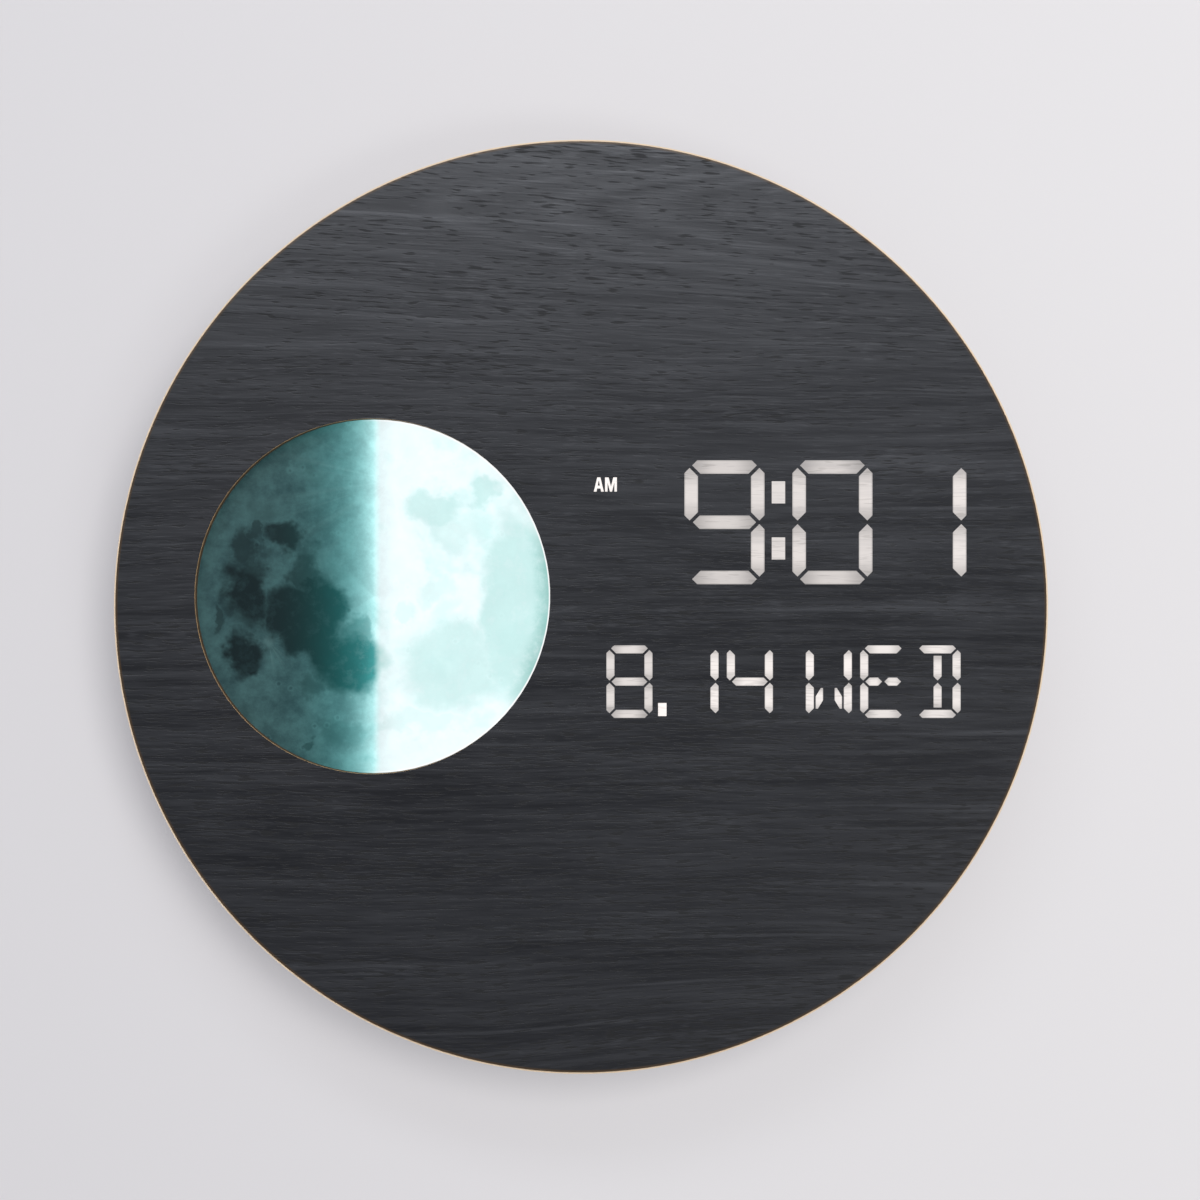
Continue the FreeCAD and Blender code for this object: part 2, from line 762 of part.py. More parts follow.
def connectors():
    control = CONTROL_TOP - CONNECTOR_L
    return group([
        connector(DISPLAY_RIBBON_X, display_connector_low(), LED_BOARD_REAR, LED_BOARD_REAR + CONNECTOR_H),
        connector(DISPLAY_RIBBON_X, control, CONTROL_FRONT - CONNECTOR_H, CONTROL_FRONT),
        connector(MOON_RIBBON_X, moon_connector_low(), MOON_BOARD_REAR, MOON_BOARD_REAR + CONNECTOR_H),
        connector(MOON_RIBBON_X, control, CONTROL_REAR, CONTROL_REAR + CONNECTOR_H)])


def ribbon(x, top, top_y, low, low_y):
    """A flat cable that leaves one plug straight, drifts across in two equal arcs and enters the other."""
    drift = low_y - top_y
    run = top - low - 2 * RIBBON_LEAD
    side = math.copysign(1, drift)
    radius = (run ** 2 + drift ** 2) / (4 * abs(drift))
    turn = math.asin(run / (2 * radius))
    first_centre = FreeCAD.Vector(x, top_y + side * radius, top - RIBBON_LEAD)
    last_centre = FreeCAD.Vector(x, low_y - side * radius, low + RIBBON_LEAD)

    def bend(centre, way, turns, reach):
        return [centre + point(0, reach * math.sin(turn), way * reach * math.cos(turn)) for turn in turns]

    def edge_line(offset):
        first = bend(first_centre, -side, (0, -turn / 2, -turn), radius - side * offset)
        last = bend(last_centre, side, (turn, turn / 2, 0), radius + side * offset)
        start = FreeCAD.Vector(x, top_y + offset, top)
        end = FreeCAD.Vector(x, low_y + offset, low)
        straights = [Part.LineSegment(start, first[0]), Part.LineSegment(last[2], end)]
        return [edge.toShape() for edge in straights + [Part.Arc(*first), Part.Arc(*last)]], start, end

    front, front_start, front_end = edge_line(-RIBBON_T / 2)
    back, back_start, back_end = edge_line(RIBBON_T / 2)
    ends = [Part.LineSegment(*pair).toShape() for pair in ((front_start, back_start), (front_end, back_end))]
    side_face = Part.Face(Part.Wire(Part.__sortEdges__(front + back + ends)))
    side_face.translate(FreeCAD.Vector(-RIBBON_W / 2, 0, 0))
    return side_face.extrude(FreeCAD.Vector(RIBBON_W, 0, 0))


def display_ribbon():
    return ribbon(DISPLAY_RIBBON_X, display_connector_low(), LED_BOARD_REAR + CONNECTOR_H / 2,
                  CONTROL_TOP, CONTROL_FRONT - CONNECTOR_H / 2)


def moon_ribbon():
    return ribbon(MOON_RIBBON_X, moon_connector_low(), MOON_BOARD_REAR + CONNECTOR_H / 2,
                  CONTROL_TOP, CONTROL_REAR + CONNECTOR_H / 2 - STOP_GAP)


# Buttons and socket

def button_places():
    return [BUTTON_FIRST_X + BUTTON_PITCH * index for index in range(len(BUTTON_NAMES))]


def cap_outline(x, grow):
    half_w = CAP_W / 2 + grow
    half_h = CAP_H / 2 + grow
    return clipped_box(x - half_w, x + half_w, -half_h, half_h, CAP_CORNER, 0)


def button_cap(x):
    tip = FLAT_OUTER - CAP_PROUD
    stem = turned_up([cap_outline(x, 0)], BUTTON_Y, tip, FLANGE_LOW - tip)
    stem = stem.makeChamfer(CAP_BEVEL, [edge for edge in stem.Edges if edge.BoundBox.ZMax < tip + 0.01])
    return joined([stem, turned_up([cap_outline(x, CAP_LIP)], BUTTON_Y, FLANGE_LOW, CAP_FLANGE_T)])


def switch_plunger(x):
    return block(x - PLUNGER_W / 2, x + PLUNGER_W / 2, BUTTON_Y - PLUNGER_H / 2, BUTTON_Y + PLUNGER_H / 2,
                 FLANGE_TOP, CONTROL_LOW + PLUNGER_HIDDEN)


def switch_body(x):
    body = block(x - SWITCH_W / 2, x + SWITCH_W / 2, CONTROL_FRONT - SWITCH_H, CONTROL_FRONT,
                 CONTROL_LOW, CONTROL_LOW + SWITCH_L)
    half_w = PLUNGER_W / 2 + PLUNGER_CLEARANCE
    half_h = PLUNGER_H / 2 + PLUNGER_CLEARANCE
    top = CONTROL_LOW + PLUNGER_HIDDEN + BUTTON_TRAVEL + PLUNGER_CLEARANCE
    return body.cut(block(x - half_w, x + half_w, BUTTON_Y - half_h, BUTTON_Y + half_h, CONTROL_LOW, top))


def switch_bodies():
    return group([switch_body(x) for x in button_places()])


def socket_outline(width, height, corner):
    return rounded_box(SOCKET_X - width / 2, SOCKET_X + width / 2, -height / 2, height / 2, corner, 0)


def power_socket_shell():
    shrink = 2 * SOCKET_WALL
    outer = socket_outline(SOCKET_W, SOCKET_H, SOCKET_CORNER)
    inner = socket_outline(SOCKET_W - shrink, SOCKET_H - shrink, SOCKET_CORNER - SOCKET_WALL)
    tube = turned_up([outer, inner], SOCKET_Y, SOCKET_LOW, SOCKET_L - SOCKET_WALL)
    back = turned_up([outer], SOCKET_Y, SOCKET_LOW + SOCKET_L - SOCKET_WALL, SOCKET_WALL)
    return joined([tube, back])


def power_socket_tongue():
    half_w = TONGUE_W / 2
    half_t = TONGUE_T / 2
    return block(SOCKET_X - half_w, SOCKET_X + half_w, SOCKET_Y - half_t, SOCKET_Y + half_t,
                 SOCKET_LOW + TONGUE_SHORT, SOCKET_LOW + SOCKET_L - SOCKET_WALL)


# The housing

def column_places():
    return around(COLUMN_RING_R, COLUMN_ANGLES)


def display_post_places():
    low_x, high_x, low_z, high_z = display_box(DISPLAY_MARGIN + MASK_LAP)
    return [(x, z) for x in (low_x + POST_INSET, (low_x + high_x) / 2, high_x - POST_INSET)
            for z in (low_z + POST_INSET, high_z - POST_INSET)]


def moon_post_places():
    return around(LENS_R - MOON_POST_INSET, MOON_POST_ANGLES, MOON_X, MOON_Z)


def cross_post(x, z, y0, y1):
    """A moulded post with a plus-shaped section, which holds a circuit board against the face."""
    long = POST_W / 2
    thin = POST_T / 2
    corners = [(thin, thin), (thin, long), (-thin, long), (-thin, thin), (-long, thin), (-long, -thin),
               (-thin, -thin), (-thin, -long), (thin, -long), (thin, -thin), (long, -thin), (long, thin)]
    return plate([polygon([(x + u, z + v) for u, v in corners], y0)], y1 - y0)


def housing_ribs():
    ribs = []
    for index in range(RIB_COUNT):
        rib = block(RIB_INNER_R, HOUSING_R, FLOOR_INNER - RIB_H, FLOOR_INNER, -RIB_T / 2, RIB_T / 2)
        rib.rotate(FreeCAD.Vector(0, 0, 0), FreeCAD.Vector(0, 1, 0), 360 * (index + 0.5) / RIB_COUNT)
        ribs.append(rib)
    return ribs


def hanger_block(x):
    half_w = HANGER_W / 2 + HANGER_FIT + HANGER_WALL
    half_h = HANGER_H / 2 + HANGER_FIT + HANGER_WALL
    return block(x - half_w, x + half_w, -(HANGER_T + HANGER_POCKET_DEPTH + HANGER_WALL), FLOOR_INNER,
                 HANGER_Z - half_h, HANGER_Z + half_h)


def hanger_hollow(x):
    seat = plate([hanger_outline(x, HANGER_FIT)], HANGER_T)
    half_w = HANGER_POCKET_W / 2
    half_h = HANGER_POCKET_H / 2
    pocket = block(x - half_w, x + half_w, -HANGER_T - HANGER_POCKET_DEPTH, -HANGER_T,
                   HANGER_Z - half_h, HANGER_Z + half_h)
    return seat.fuse(pocket)


def vent_slots():
    first = -VENT_PITCH * (VENT_COUNT - 1) / 2
    middles = [first + VENT_PITCH * index for index in range(VENT_COUNT)]
    return [block(x - VENT_W / 2, x + VENT_W / 2, FLOOR_INNER, 0, VENT_Z - VENT_L / 2, VENT_Z + VENT_L / 2)
            for x in middles]


def rear_housing():
    tub = plate([cut_circle(HOUSING_R, -FLAT_OUTER, BOARD_REAR)], HOUSING_DEPTH)
    tub = tub.makeChamfer(HOUSING_CHAMFER, [edge for edge in tub.Edges if edge.BoundBox.YMin > -1e-6])
    hollow = plate([cut_circle(HOUSING_R - HOUSING_WALL, -FLAT_INNER, BOARD_REAR)],
                   HOUSING_DEPTH - HOUSING_FLOOR)
    columns = [rod(x, z, COLUMN_R, BOARD_REAR, FLOOR_INNER) for x, z in column_places()]
    posts = [cross_post(x, z, LED_BOARD_REAR, FLOOR_INNER) for x, z in display_post_places()]
    posts += [cross_post(x, z, MOON_BOARD_REAR, FLOOR_INNER) for x, z in moon_post_places()]
    posts += [square(x, z, CONTROL_POST_W, CONTROL_REAR, FLOOR_INNER) for x, z in control_posts()]
    posts += [stake(x, z, CONTROL_REAR, PCB_T, -1) for x, z in control_posts()]
    blocks = [hanger_block(side * HANGER_X) for side in (-1, 1)]
    inside = columns[0].fuse(columns[1:] + posts + blocks + housing_ribs()).common(hollow)
    tub = tub.cut(hollow).fuse(inside).removeSplitter()
    wells = [rod(x, z, WELL_R, BOARD_REAR + COLUMN_SEAT, 0) for x, z in column_places()]
    caps = [turned_up([cap_outline(x, CAP_CLEARANCE)], BUTTON_Y, FLAT_OUTER, HOUSING_WALL)
            for x in button_places()]
    port = turned_up([socket_outline(PORT_W, PORT_H, PORT_CORNER)], SOCKET_Y, FLAT_OUTER, HOUSING_WALL)
    hangers = [hanger_hollow(side * HANGER_X) for side in (-1, 1)]
    return tub.cut(wells + caps + hangers + vent_slots() + [port])


# Steel keyhole hangers

def hanger_outline(x, grow):
    half_w = HANGER_W / 2 + grow
    half_h = HANGER_H / 2 + grow
    low = HANGER_Z - half_h
    return clipped_box(x - half_w, x + half_w, low, low + 2 * half_h, HANGER_CORNER, -HANGER_T)


def hanger_plate(x):
    entry_z = HANGER_Z - ENTRY_DROP
    slot_z = HANGER_Z + SLOT_RISE
    keyhole = joined([rod(x, entry_z, ENTRY_R, -HANGER_T, 0), rod(x, slot_z, SLOT_W / 2, -HANGER_T, 0),
                      block(x - SLOT_W / 2, x + SLOT_W / 2, -HANGER_T, 0, entry_z, slot_z)])
    return plate([hanger_outline(x, 0)], HANGER_T).cut(keyhole)


PIECES = {
    "front_film": front_film,
    "front_board": front_board,
    "display_diffuser": display_diffuser,
    "display_mask": display_mask,
    "display_led_board": display_led_board,
    "display_leds": display_leds,
    "display_driver_chips": display_driver_chips,
    "moon_lens": moon_lens,
    "moon_light_box": moon_light_box,
    "moon_led_board": moon_led_board,
    "moon_leds": moon_leds,
    "control_board": control_board,
    "controller_chip": controller_chip,
    "crystal": crystal,
    "capacitor": capacitor,
    "buzzer": buzzer,
    "coin_cell": coin_cell,
    "coin_cell_strap": coin_cell_strap,
    "connectors": connectors,
    "display_ribbon": display_ribbon,
    "moon_ribbon": moon_ribbon,
    "switch_bodies": switch_bodies,
    "power_socket_shell": power_socket_shell,
    "power_socket_tongue": power_socket_tongue,
    "rear_housing": rear_housing,
}


def pieces():
    shapes = {name: make() for name, make in PIECES.items()}
    shapes["hanger_plate_left"] = hanger_plate(-HANGER_X)
    shapes["hanger_plate_right"] = hanger_plate(HANGER_X)
    for name, x in zip(BUTTON_NAMES, button_places()):
        shapes[name + "_button_cap"] = button_cap(x)
        shapes[name + "_switch_plunger"] = switch_plunger(x)
    return shapes


os.makedirs("parts", exist_ok=True)
for name, shape in pieces().items():
    shape.exportStep("parts/" + name + ".step")
    print(name, "solids", len(shape.Solids), "valid", shape.isValid(), "volume", round(shape.Volume, 1))
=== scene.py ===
# %% [markdown]
# # A wall clock with a lit moon
#
# The clock is a 300 mm disc of fibreboard under a black wood-grain film. A round window on the left holds a
# lit moon, and the time and the date shine through the film on the right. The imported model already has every
# part in its place, so this lesson only dresses it. It gives each part a finish made of shader nodes, and
# rebuilds the few parts whose real form is finer than their plain solid.
#
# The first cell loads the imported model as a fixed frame. Everything after it is in metres, in that frame:
# X runs to the right, Z up, and the face looks along -Y.

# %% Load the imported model
import bpy
import math
from mathutils import Matrix, Vector
from mathutils.geometry import delaunay_2d_cdt


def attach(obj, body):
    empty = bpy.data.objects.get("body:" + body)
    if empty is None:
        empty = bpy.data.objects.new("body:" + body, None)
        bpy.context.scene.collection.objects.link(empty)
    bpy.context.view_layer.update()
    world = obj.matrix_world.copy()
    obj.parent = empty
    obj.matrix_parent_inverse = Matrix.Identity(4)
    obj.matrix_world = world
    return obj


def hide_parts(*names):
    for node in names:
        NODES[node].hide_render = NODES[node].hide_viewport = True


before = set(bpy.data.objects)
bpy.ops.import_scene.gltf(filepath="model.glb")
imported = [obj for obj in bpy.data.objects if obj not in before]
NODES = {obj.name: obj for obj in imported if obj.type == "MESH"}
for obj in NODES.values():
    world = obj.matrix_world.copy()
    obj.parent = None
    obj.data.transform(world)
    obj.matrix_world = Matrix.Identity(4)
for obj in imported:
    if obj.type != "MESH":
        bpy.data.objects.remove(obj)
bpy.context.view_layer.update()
CLOCK = "clock"
MM = 0.001


# %% [markdown]
# ## Camera
#
# The picture was taken straight at the face, a little right of and above its middle. With a perspective
# camera the near rim hides nothing, but the left wall of the moon's window shows, and that is what fixes how
# far away the camera stands: 0.8 m from the face.

# %% Camera
CAMERA_PLACE = (0.0061, -0.828, 0.0022)
CAMERA_ANGLE = 27.07


def add_object(name, data):
    item = bpy.data.objects.new(name, data)
    bpy.context.scene.collection.objects.link(item)
    return item


camera = add_object("camera", bpy.data.cameras.new("camera"))
camera.location = CAMERA_PLACE
camera.rotation_euler = (math.radians(90), 0, 0)
camera.data.angle = math.radians(CAMERA_ANGLE)
bpy.context.scene.camera = camera
bpy.context.scene.view_settings.view_transform = "Standard"
print("camera", CAMERA_ANGLE, "degrees wide")

# %% [markdown]
# ## Light
#
# The disc throws a soft shadow to the lower left, so the main lamp is a large softbox up on the right. It
# leaves no glare on the black face, as when a photographer turns a polarising filter, so it is hidden from
# glossy rays. A second softbox above the camera makes the upper part of the film paler than the lower part,
# as its sheen does in daylight, and only shows in gloss. A weak one low on the right lifts the lower edge,
# and a strip high above the face paints the wall's shadow on its lower side. Two more lamps stand behind the
# wall and light the back of the clock, for when the camera goes round. A lamp's power is spread over its
# whole softbox, so a larger softbox makes softer shadows at the same brightness.
#
# A row is the lamp's name, its place, its width and height, its power in watts, its tint, and the kind of ray
# that it is hidden from.

# %% Lamps
WHITE = (1.0, 1.0, 1.0)
KEY_TINT = (1.0, 0.985, 0.97)
SKY_TINT = (0.95, 0.98, 1.04)
LAMPS = (("key_softbox", (0.57, -2.05, 0.48), 1.0, 1.0, 27.0, KEY_TINT, "glossy"),
         ("top_softbox", (-0.06, -1.75, 0.76), 1.30, 0.50, 17.5, SKY_TINT, "diffuse"),
         ("low_softbox", (0.85, -1.70, -0.66), 0.8, 0.5, 6.0, WHITE, None),
         ("high_softbox", (-0.15, -1.05, 1.20), 1.3, 0.35, 6.5, SKY_TINT, "glossy"),
         ("rear_softbox_left", (1.2, 1.6, 0.9), 0.9, 0.9, 22.0, WHITE, None),
         ("rear_softbox_right", (-1.3, 1.5, 0.2), 0.9, 0.9, 10.0, WHITE, None))

for name, place, width, height, watts, tint, hidden_from in LAMPS:
    lamp = bpy.data.lights.new(name, "AREA")
    lamp.shape = "RECTANGLE"
    lamp.size = width
    lamp.size_y = height
    lamp.energy = watts
    lamp.color = tint
    holder = add_object(name, lamp)
    holder.location = place
    holder.rotation_euler = (-Vector(place)).to_track_quat("-Z", "Y").to_euler()
    holder.visible_camera = False
    if hidden_from:
        setattr(holder, "visible_" + hidden_from, False)
print(len(LAMPS), "lamps")

# %% [markdown]
# ## Building node trees
#
# Every finish is a tree of shader nodes. Making them by hand in Python takes three lines a node, so two
# small classes do the routine part. A Tree adds a node, sets it up and plugs its inputs: a plain number or
# colour is written on the socket itself, and another node's output is linked to it. A Value is such an
# output, and arithmetic with values adds Math nodes, so a formula in the script reads like the formula that
# it is.

# %% A short way to write node trees
class Value:
    """The output of a node, which sums and products can be made with."""

    def __init__(self, tree, socket):
        self.tree = tree
        self.socket = socket

    def __add__(self, other):
        return self.tree.math("ADD", self, other)

    def __sub__(self, other):
        return self.tree.math("SUBTRACT", self, other)

    def __rsub__(self, other):
        return self.tree.math("SUBTRACT", other, self)

    def __mul__(self, other):
        return self.tree.math("MULTIPLY", self, other)

    def __truediv__(self, other):
        return self.tree.math("DIVIDE", self, other)


class Tree:
    """Adds nodes to one node tree and joins them."""

    def __init__(self, tree):
        self.tree = tree

    def fill(self, node, inputs):
        """Sets or links the node's inputs. A colour may be given without its alpha."""
        for name, value in inputs.items():
            socket = node.inputs[name]
            if isinstance(value, Value):
                self.tree.links.new(value.socket, socket)
            elif socket.type == "RGBA" and len(value) == 3:
                socket.default_value = (*value, 1.0)
            else:
                socket.default_value = value

    def node(self, kind, inputs=None, **settings):
        made = self.tree.nodes.new("ShaderNode" + kind)
        for name, value in settings.items():
            setattr(made, name, value)
        self.fill(made, inputs or {})
        return made

    def values(self, kind, inputs=None, **settings):
        """Adds a node and gives its outputs, by name."""
        return {socket.name: Value(self, socket)
                for socket in self.node(kind, inputs, **settings).outputs if socket.enabled}

    def math(self, operation, *values, clamp=False):
        return self.values("Math", dict(enumerate(values)), operation=operation, use_clamp=clamp)["Value"]

    def vector(self, operation, *values):
        made = self.values("VectorMath", dict(enumerate(values)), operation=operation)
        return made.get("Vector") or made["Value"]

    def step(self, value, low, high, start=0.0, end=1.0):
        """Goes smoothly from start to end while the value goes from low to high."""
        inputs = {"Value": value, "From Min": low, "From Max": high, "To Min": start, "To Max": end}
        return self.values("MapRange", inputs, interpolation_type="SMOOTHSTEP")["Result"]

    def mix(self, share, first, second, blend="MIX"):
        inputs = {0: share, 6: first, 7: second}
        return self.values("Mix", inputs, data_type="RGBA", blend_type=blend)["Result"]

    def noise(self, place, scale, detail=2.0, roughness=0.5, output="Fac"):
        inputs = {"Vector": place, "Scale": scale, "Detail": detail, "Roughness": roughness}
        return self.values("TexNoise", inputs)[output]

    def stretched(self, place, factors, shift=(0.0, 0.0, 0.0)):
        return self.values("Mapping", {"Vector": place, "Scale": factors, "Location": shift})["Vector"]

    def parts(self, place):
        return self.values("SeparateXYZ", {"Vector": place}).values()

    def together(self, x, y, z):
        return self.values("CombineXYZ", {"X": x, "Y": y, "Z": z})["Vector"]

    def bump(self, height, strength, distance_mm):
        inputs = {"Height": height, "Strength": strength, "Distance": distance_mm * MM}
        return self.values("Bump", inputs)["Normal"]

    def millimetres(self):
        """The place on the object, in millimetres from the middle of the clock's back."""
        return self.vector("MULTIPLY", self.values("TexCoord")["Object"], (1 / MM, 1 / MM, 1 / MM))

    def use(self, group, **inputs):
        """Places a node group. An underscore stands for a space in the name of an input."""
        inputs = {name.replace("_", " "): value for name, value in inputs.items()}
        return self.values("Group", inputs, node_tree=group)


def new_group(name, inputs, outputs):
    """A node group with the vector Place, more inputs as {name: value} and the named outputs."""
    group = bpy.data.node_groups.new(name, "ShaderNodeTree")
    group.interface.new_socket("Place", in_out="INPUT", socket_type="NodeSocketVector")
    for socket_name, value in inputs.items():
        kind = "NodeSocketVector" if isinstance(value, tuple) else "NodeSocketFloat"
        group.interface.new_socket(socket_name, in_out="INPUT", socket_type=kind).default_value = value
    for socket_name in outputs.split():
        group.interface.new_socket(socket_name, in_out="OUTPUT", socket_type="NodeSocketFloat")
    tree = Tree(group)
    start = {socket.name: Value(tree, socket) for socket in group.nodes.new("NodeGroupInput").outputs}
    return group, tree, start, group.nodes.new("NodeGroupOutput")


def new_material(name):
    """A material with its tree and its one surface shader."""
    material = bpy.data.materials.new(name)
    material.use_nodes = True
    return material, Tree(material.node_tree), material.node_tree.nodes["Principled BSDF"]


def grey(level):
    return (level, level, level)


def dress(material, *names):
    """Gives CAD parts a finish through their own material slots. Their meshes stay as they are."""
    for name in names:
        slots = NODES[name].material_slots
        if not slots:
            NODES[name].data.materials.append(material)
        for slot in slots:
            slot.material = material
    print(material.name, "on", ", ".join(names))


print("node helpers ready")

# %% [markdown]
# ## Wall, floor and surroundings
#
# The clock hangs on a plain pale wall, which catches its shadow. A solid wall would hide the clock from
# behind and darken its back. So the wall is only there for the camera, and only from the front: its material
# mixes a matt paint with a transparent shader, by Light Path and by Geometry's Backfacing. Part of the
# paint's paleness is its own glow, which keeps the shadow of the disc as light as it is in a bright room, and
# makes the wall a little paler on the right, where the window would be. The floor is far below and works the
# same way. The world gives even light, and to the camera, glass and gloss it looks pale.

# %% Surroundings
WALL_Y = 0.6 * MM
REACH = 12.0
FLOOR_Z = -1.45
# A row is the lower edge's place and the upper edge's, in Y and Z, the paint's tint, and its glow on the
# left and on the right
BACKDROPS = (("wall", (WALL_Y, FLOOR_Z), (WALL_Y, REACH), (0.400, 0.393, 0.396),
              ((0.284, 0.280, 0.306), (0.388, 0.380, 0.394))),
             ("floor", (-REACH, FLOOR_Z), (REACH, FLOOR_Z), grey(0.60), (grey(0.30), grey(0.30))))
GLOW_WIDTH = 0.9
WORLD_LEVEL = 0.27
WORLD_SEEN = (0.50, 0.51, 0.53)


def seen_directly(tree):
    """1 for what the camera sees by itself, in gloss or through glass, and 0 for light on the object."""
    path = tree.values("LightPath")
    seen = tree.math("MAXIMUM", path["Is Camera Ray"], path["Is Glossy Ray"])
    return tree.math("MAXIMUM", seen, path["Is Transmission Ray"])


def one_sided_paint(name, tint, glow):
    material, tree, surface = new_material(name)
    across, _, _ = tree.parts(tree.values("TexCoord")["Object"])
    tree.fill(surface, {
        "Base Color": tint, "Roughness": 0.9, "Specular IOR Level": 0.1, "Emission Strength": 1.0,
        "Emission Color": tree.mix(tree.step(across, -GLOW_WIDTH / 2, GLOW_WIDTH / 2), *glow)})
    share = seen_directly(tree) * (1.0 - tree.values("NewGeometry")["Backfacing"])
    mixed = tree.values("MixShader", {0: share, 1: tree.values("BsdfTransparent")["BSDF"],
                                      2: Value(tree, surface.outputs[0])})
    tree.fill(material.node_tree.nodes["Material Output"], {"Surface": mixed["Shader"]})
    return material


def add_mesh(name, vertices, faces, *materials):
    mesh = bpy.data.meshes.new(name)
    mesh.from_pydata(vertices, [], faces)
    for material in materials:
        mesh.materials.append(material)
    return add_object(name, mesh)


for name, low, high, tint, glow in BACKDROPS:
    # The corners run anticlockwise as seen from the front of the face
    corners = [(-REACH, *low), (REACH, *low), (REACH, *high), (-REACH, *high)]
    item = add_mesh(name, corners, [(0, 1, 2, 3)], one_sided_paint(name + "_paint", tint, glow))

world = bpy.data.worlds.new("studio")
world.use_nodes = True
bpy.context.scene.world = world
air = Tree(world.node_tree)
even = air.values("Background", {"Color": grey(1.0), "Strength": WORLD_LEVEL})["Background"]
pale = air.values("Background", {"Color": WORLD_SEEN, "Strength": 1.0})["Background"]
blend = air.values("MixShader", {0: seen_directly(air), 1: even, 2: pale})["Shader"]
air.fill(world.node_tree.nodes["World Output"], {"Surface": blend})
print("wall at", WALL_Y, "floor at", FLOOR_Z)

# %% [markdown]
# ## Flat sheets with windows
#
# The film is a thin sheet with a round hole, and the lit segments are areas of it that let light through. One
# mesh can hold both if its face is cut along every outline. Blender's Delaunay function does this: it gets
# outlines that may lie inside one another, and gives triangles with a list of the outlines that each is in.
# A triangle is then kept, dropped or given another material by that list. The same helper makes the keyhole
# plates and the heads of the screws.

# %% A sheet from outlines
def arc(x, z, radius, first, last, steps):
    """Points on a circle, from the first turn to the last, in degrees."""
    turns = [math.radians(first + (last - first) * index / steps) for index in range(steps + 1)]
    return [(x + radius * math.cos(turn), z + radius * math.sin(turn)) for turn in turns]


def circle_outline(x, z, radius, count):
    return arc(x, z, radius, 0, 360, count)[:-1]


def cut_along(outlines):
    """Triangles between the outlines, each with the numbers of the outlines that it lies in."""
    corners, faces = [], []
    for outline in outlines:
        ring = list(range(len(corners), len(corners) + len(outline)))
        turn = sum(x0 * z1 - x1 * z0 for (x0, z0), (x1, z1) in zip(outline, outline[1:] + outline[:1]))
        faces.append(ring if turn > 0 else ring[::-1])
        corners += [Vector(corner) for corner in outline]
    points, _, triangles, sources, _, owners = delaunay_2d_cdt(corners, [], faces, 0, 1e-5)
    return points, [(tuple(face), frozenset(owner)) for face, owner in zip(triangles, owners)], sources


def sheet_object(name, outlines, finish_of, front, rear, materials, notes=None):
    """A flat sheet from y=front to y=rear, in millimetres. finish_of gives a material's number for the set of
    outlines that a triangle lies in, or None where the sheet is open. notes are values for outline corners,
    kept on the mesh as the attribute segment_place."""
    points, triangles, sources = cut_along(outlines)
    kept = [(face, finish_of(owners)) for face, owners in triangles if finish_of(owners) is not None]
    count = len(points)
    vertices = [(point.x * MM, y * MM, point.y * MM) for y in (front, rear) for point in points]
    faces = [face for face, _ in kept] + [tuple(count + v for v in reversed(face)) for face, _ in kept]
    edges = dict.fromkeys(edge for face, _ in kept for edge in zip(face, face[1:] + face[:1]))
    faces += [(end, start, count + start, count + end) for start, end in edges if (end, start) not in edges]
    item = add_mesh(name, vertices, faces, *materials)
    for polygon, (_, number) in zip(item.data.polygons, kept):
        polygon.material_index = number
    if notes:
        kept_notes = item.data.attributes.new("segment_place", "FLOAT_VECTOR", "POINT")
        for index, source in enumerate(sources):
            for corner in source:
                kept_notes.data[index].vector = notes[corner]
    return item


print("sheet helper ready")

# %% [markdown]
# ## Segment outlines
#
# A seven-segment character is seven bars with pointed ends and a constant gap between them. The weekday has
# fourteen. The part's source draws them the same way, from a character's top left corner, so the lit areas of
# the film lie over the wells of the mask behind it. Light fades at a well's walls, so here each bar is drawn
# in by 0.15 mm at its sides. The bar a is the top one, then the letters go round clockwise to f, and g is in
# the middle.

# %% Segment outlines
TIP = 0.38
SLASH_TIP = 0.30
SLASH_THICK = 1.5
INSET = 0.15
TIME_W, TIME_H, TIME_STROKE, TIME_GAP = 26.0, 40.1, 4.65, 1.15
DATE_W, DATE_H, DATE_STROKE, DATE_GAP = 15.1, 23.6, 2.9, 0.75


def top_bar(width, stroke, gap):
    tip = TIP * stroke
    start = gap / math.sqrt(2)
    return [(start + tip, tip), (start + 2 * tip, 0), (width - start - 2 * tip, 0),
            (width - start - tip, tip), (width - start - stroke, stroke), (start + stroke, stroke)]


def upper_left_bar(half, stroke, gap):
    tip = TIP * stroke
    start = gap / math.sqrt(2)
    end = half - gap / 2
    return [(tip, start + tip), (0, start + 2 * tip), (0, end - tip),
            (tip, end), (stroke, end - (stroke - tip)), (stroke, start + stroke)]


def middle_bar(left, right, half, stroke):
    point = stroke / 2
    return [(left, half), (left + point, half - point), (right - point, half - point),
            (right, half), (right - point, half + point), (left + point, half + point)]


def centre_bar(width, half, stroke, gap):
    end = half - gap / 2
    start = stroke + gap
    left = (width - stroke) / 2
    right = (width + stroke) / 2
    return [(left, start), (right, start), (right, end - stroke / 2),
            (width / 2, end), (left, end - stroke / 2)]


def slash_bar(width, half, stroke, gap):
    left = stroke + gap * 0.75
    right = (width - stroke) / 2 - gap * 0.75
    high = half + stroke / 2 + gap
    low = 2 * half - stroke - gap / 2
    tip = SLASH_TIP * (right - left)
    thick = stroke * SLASH_THICK
    return [(right - tip, high), (right, high), (right, high + thick),
            (left + tip, low), (left, low), (left, low - thick)]


def mirror_across(bar, width):
    return [(width - u, v) for u, v in bar]


def mirror_down(bar, height):
    return [(u, height - v) for u, v in bar]


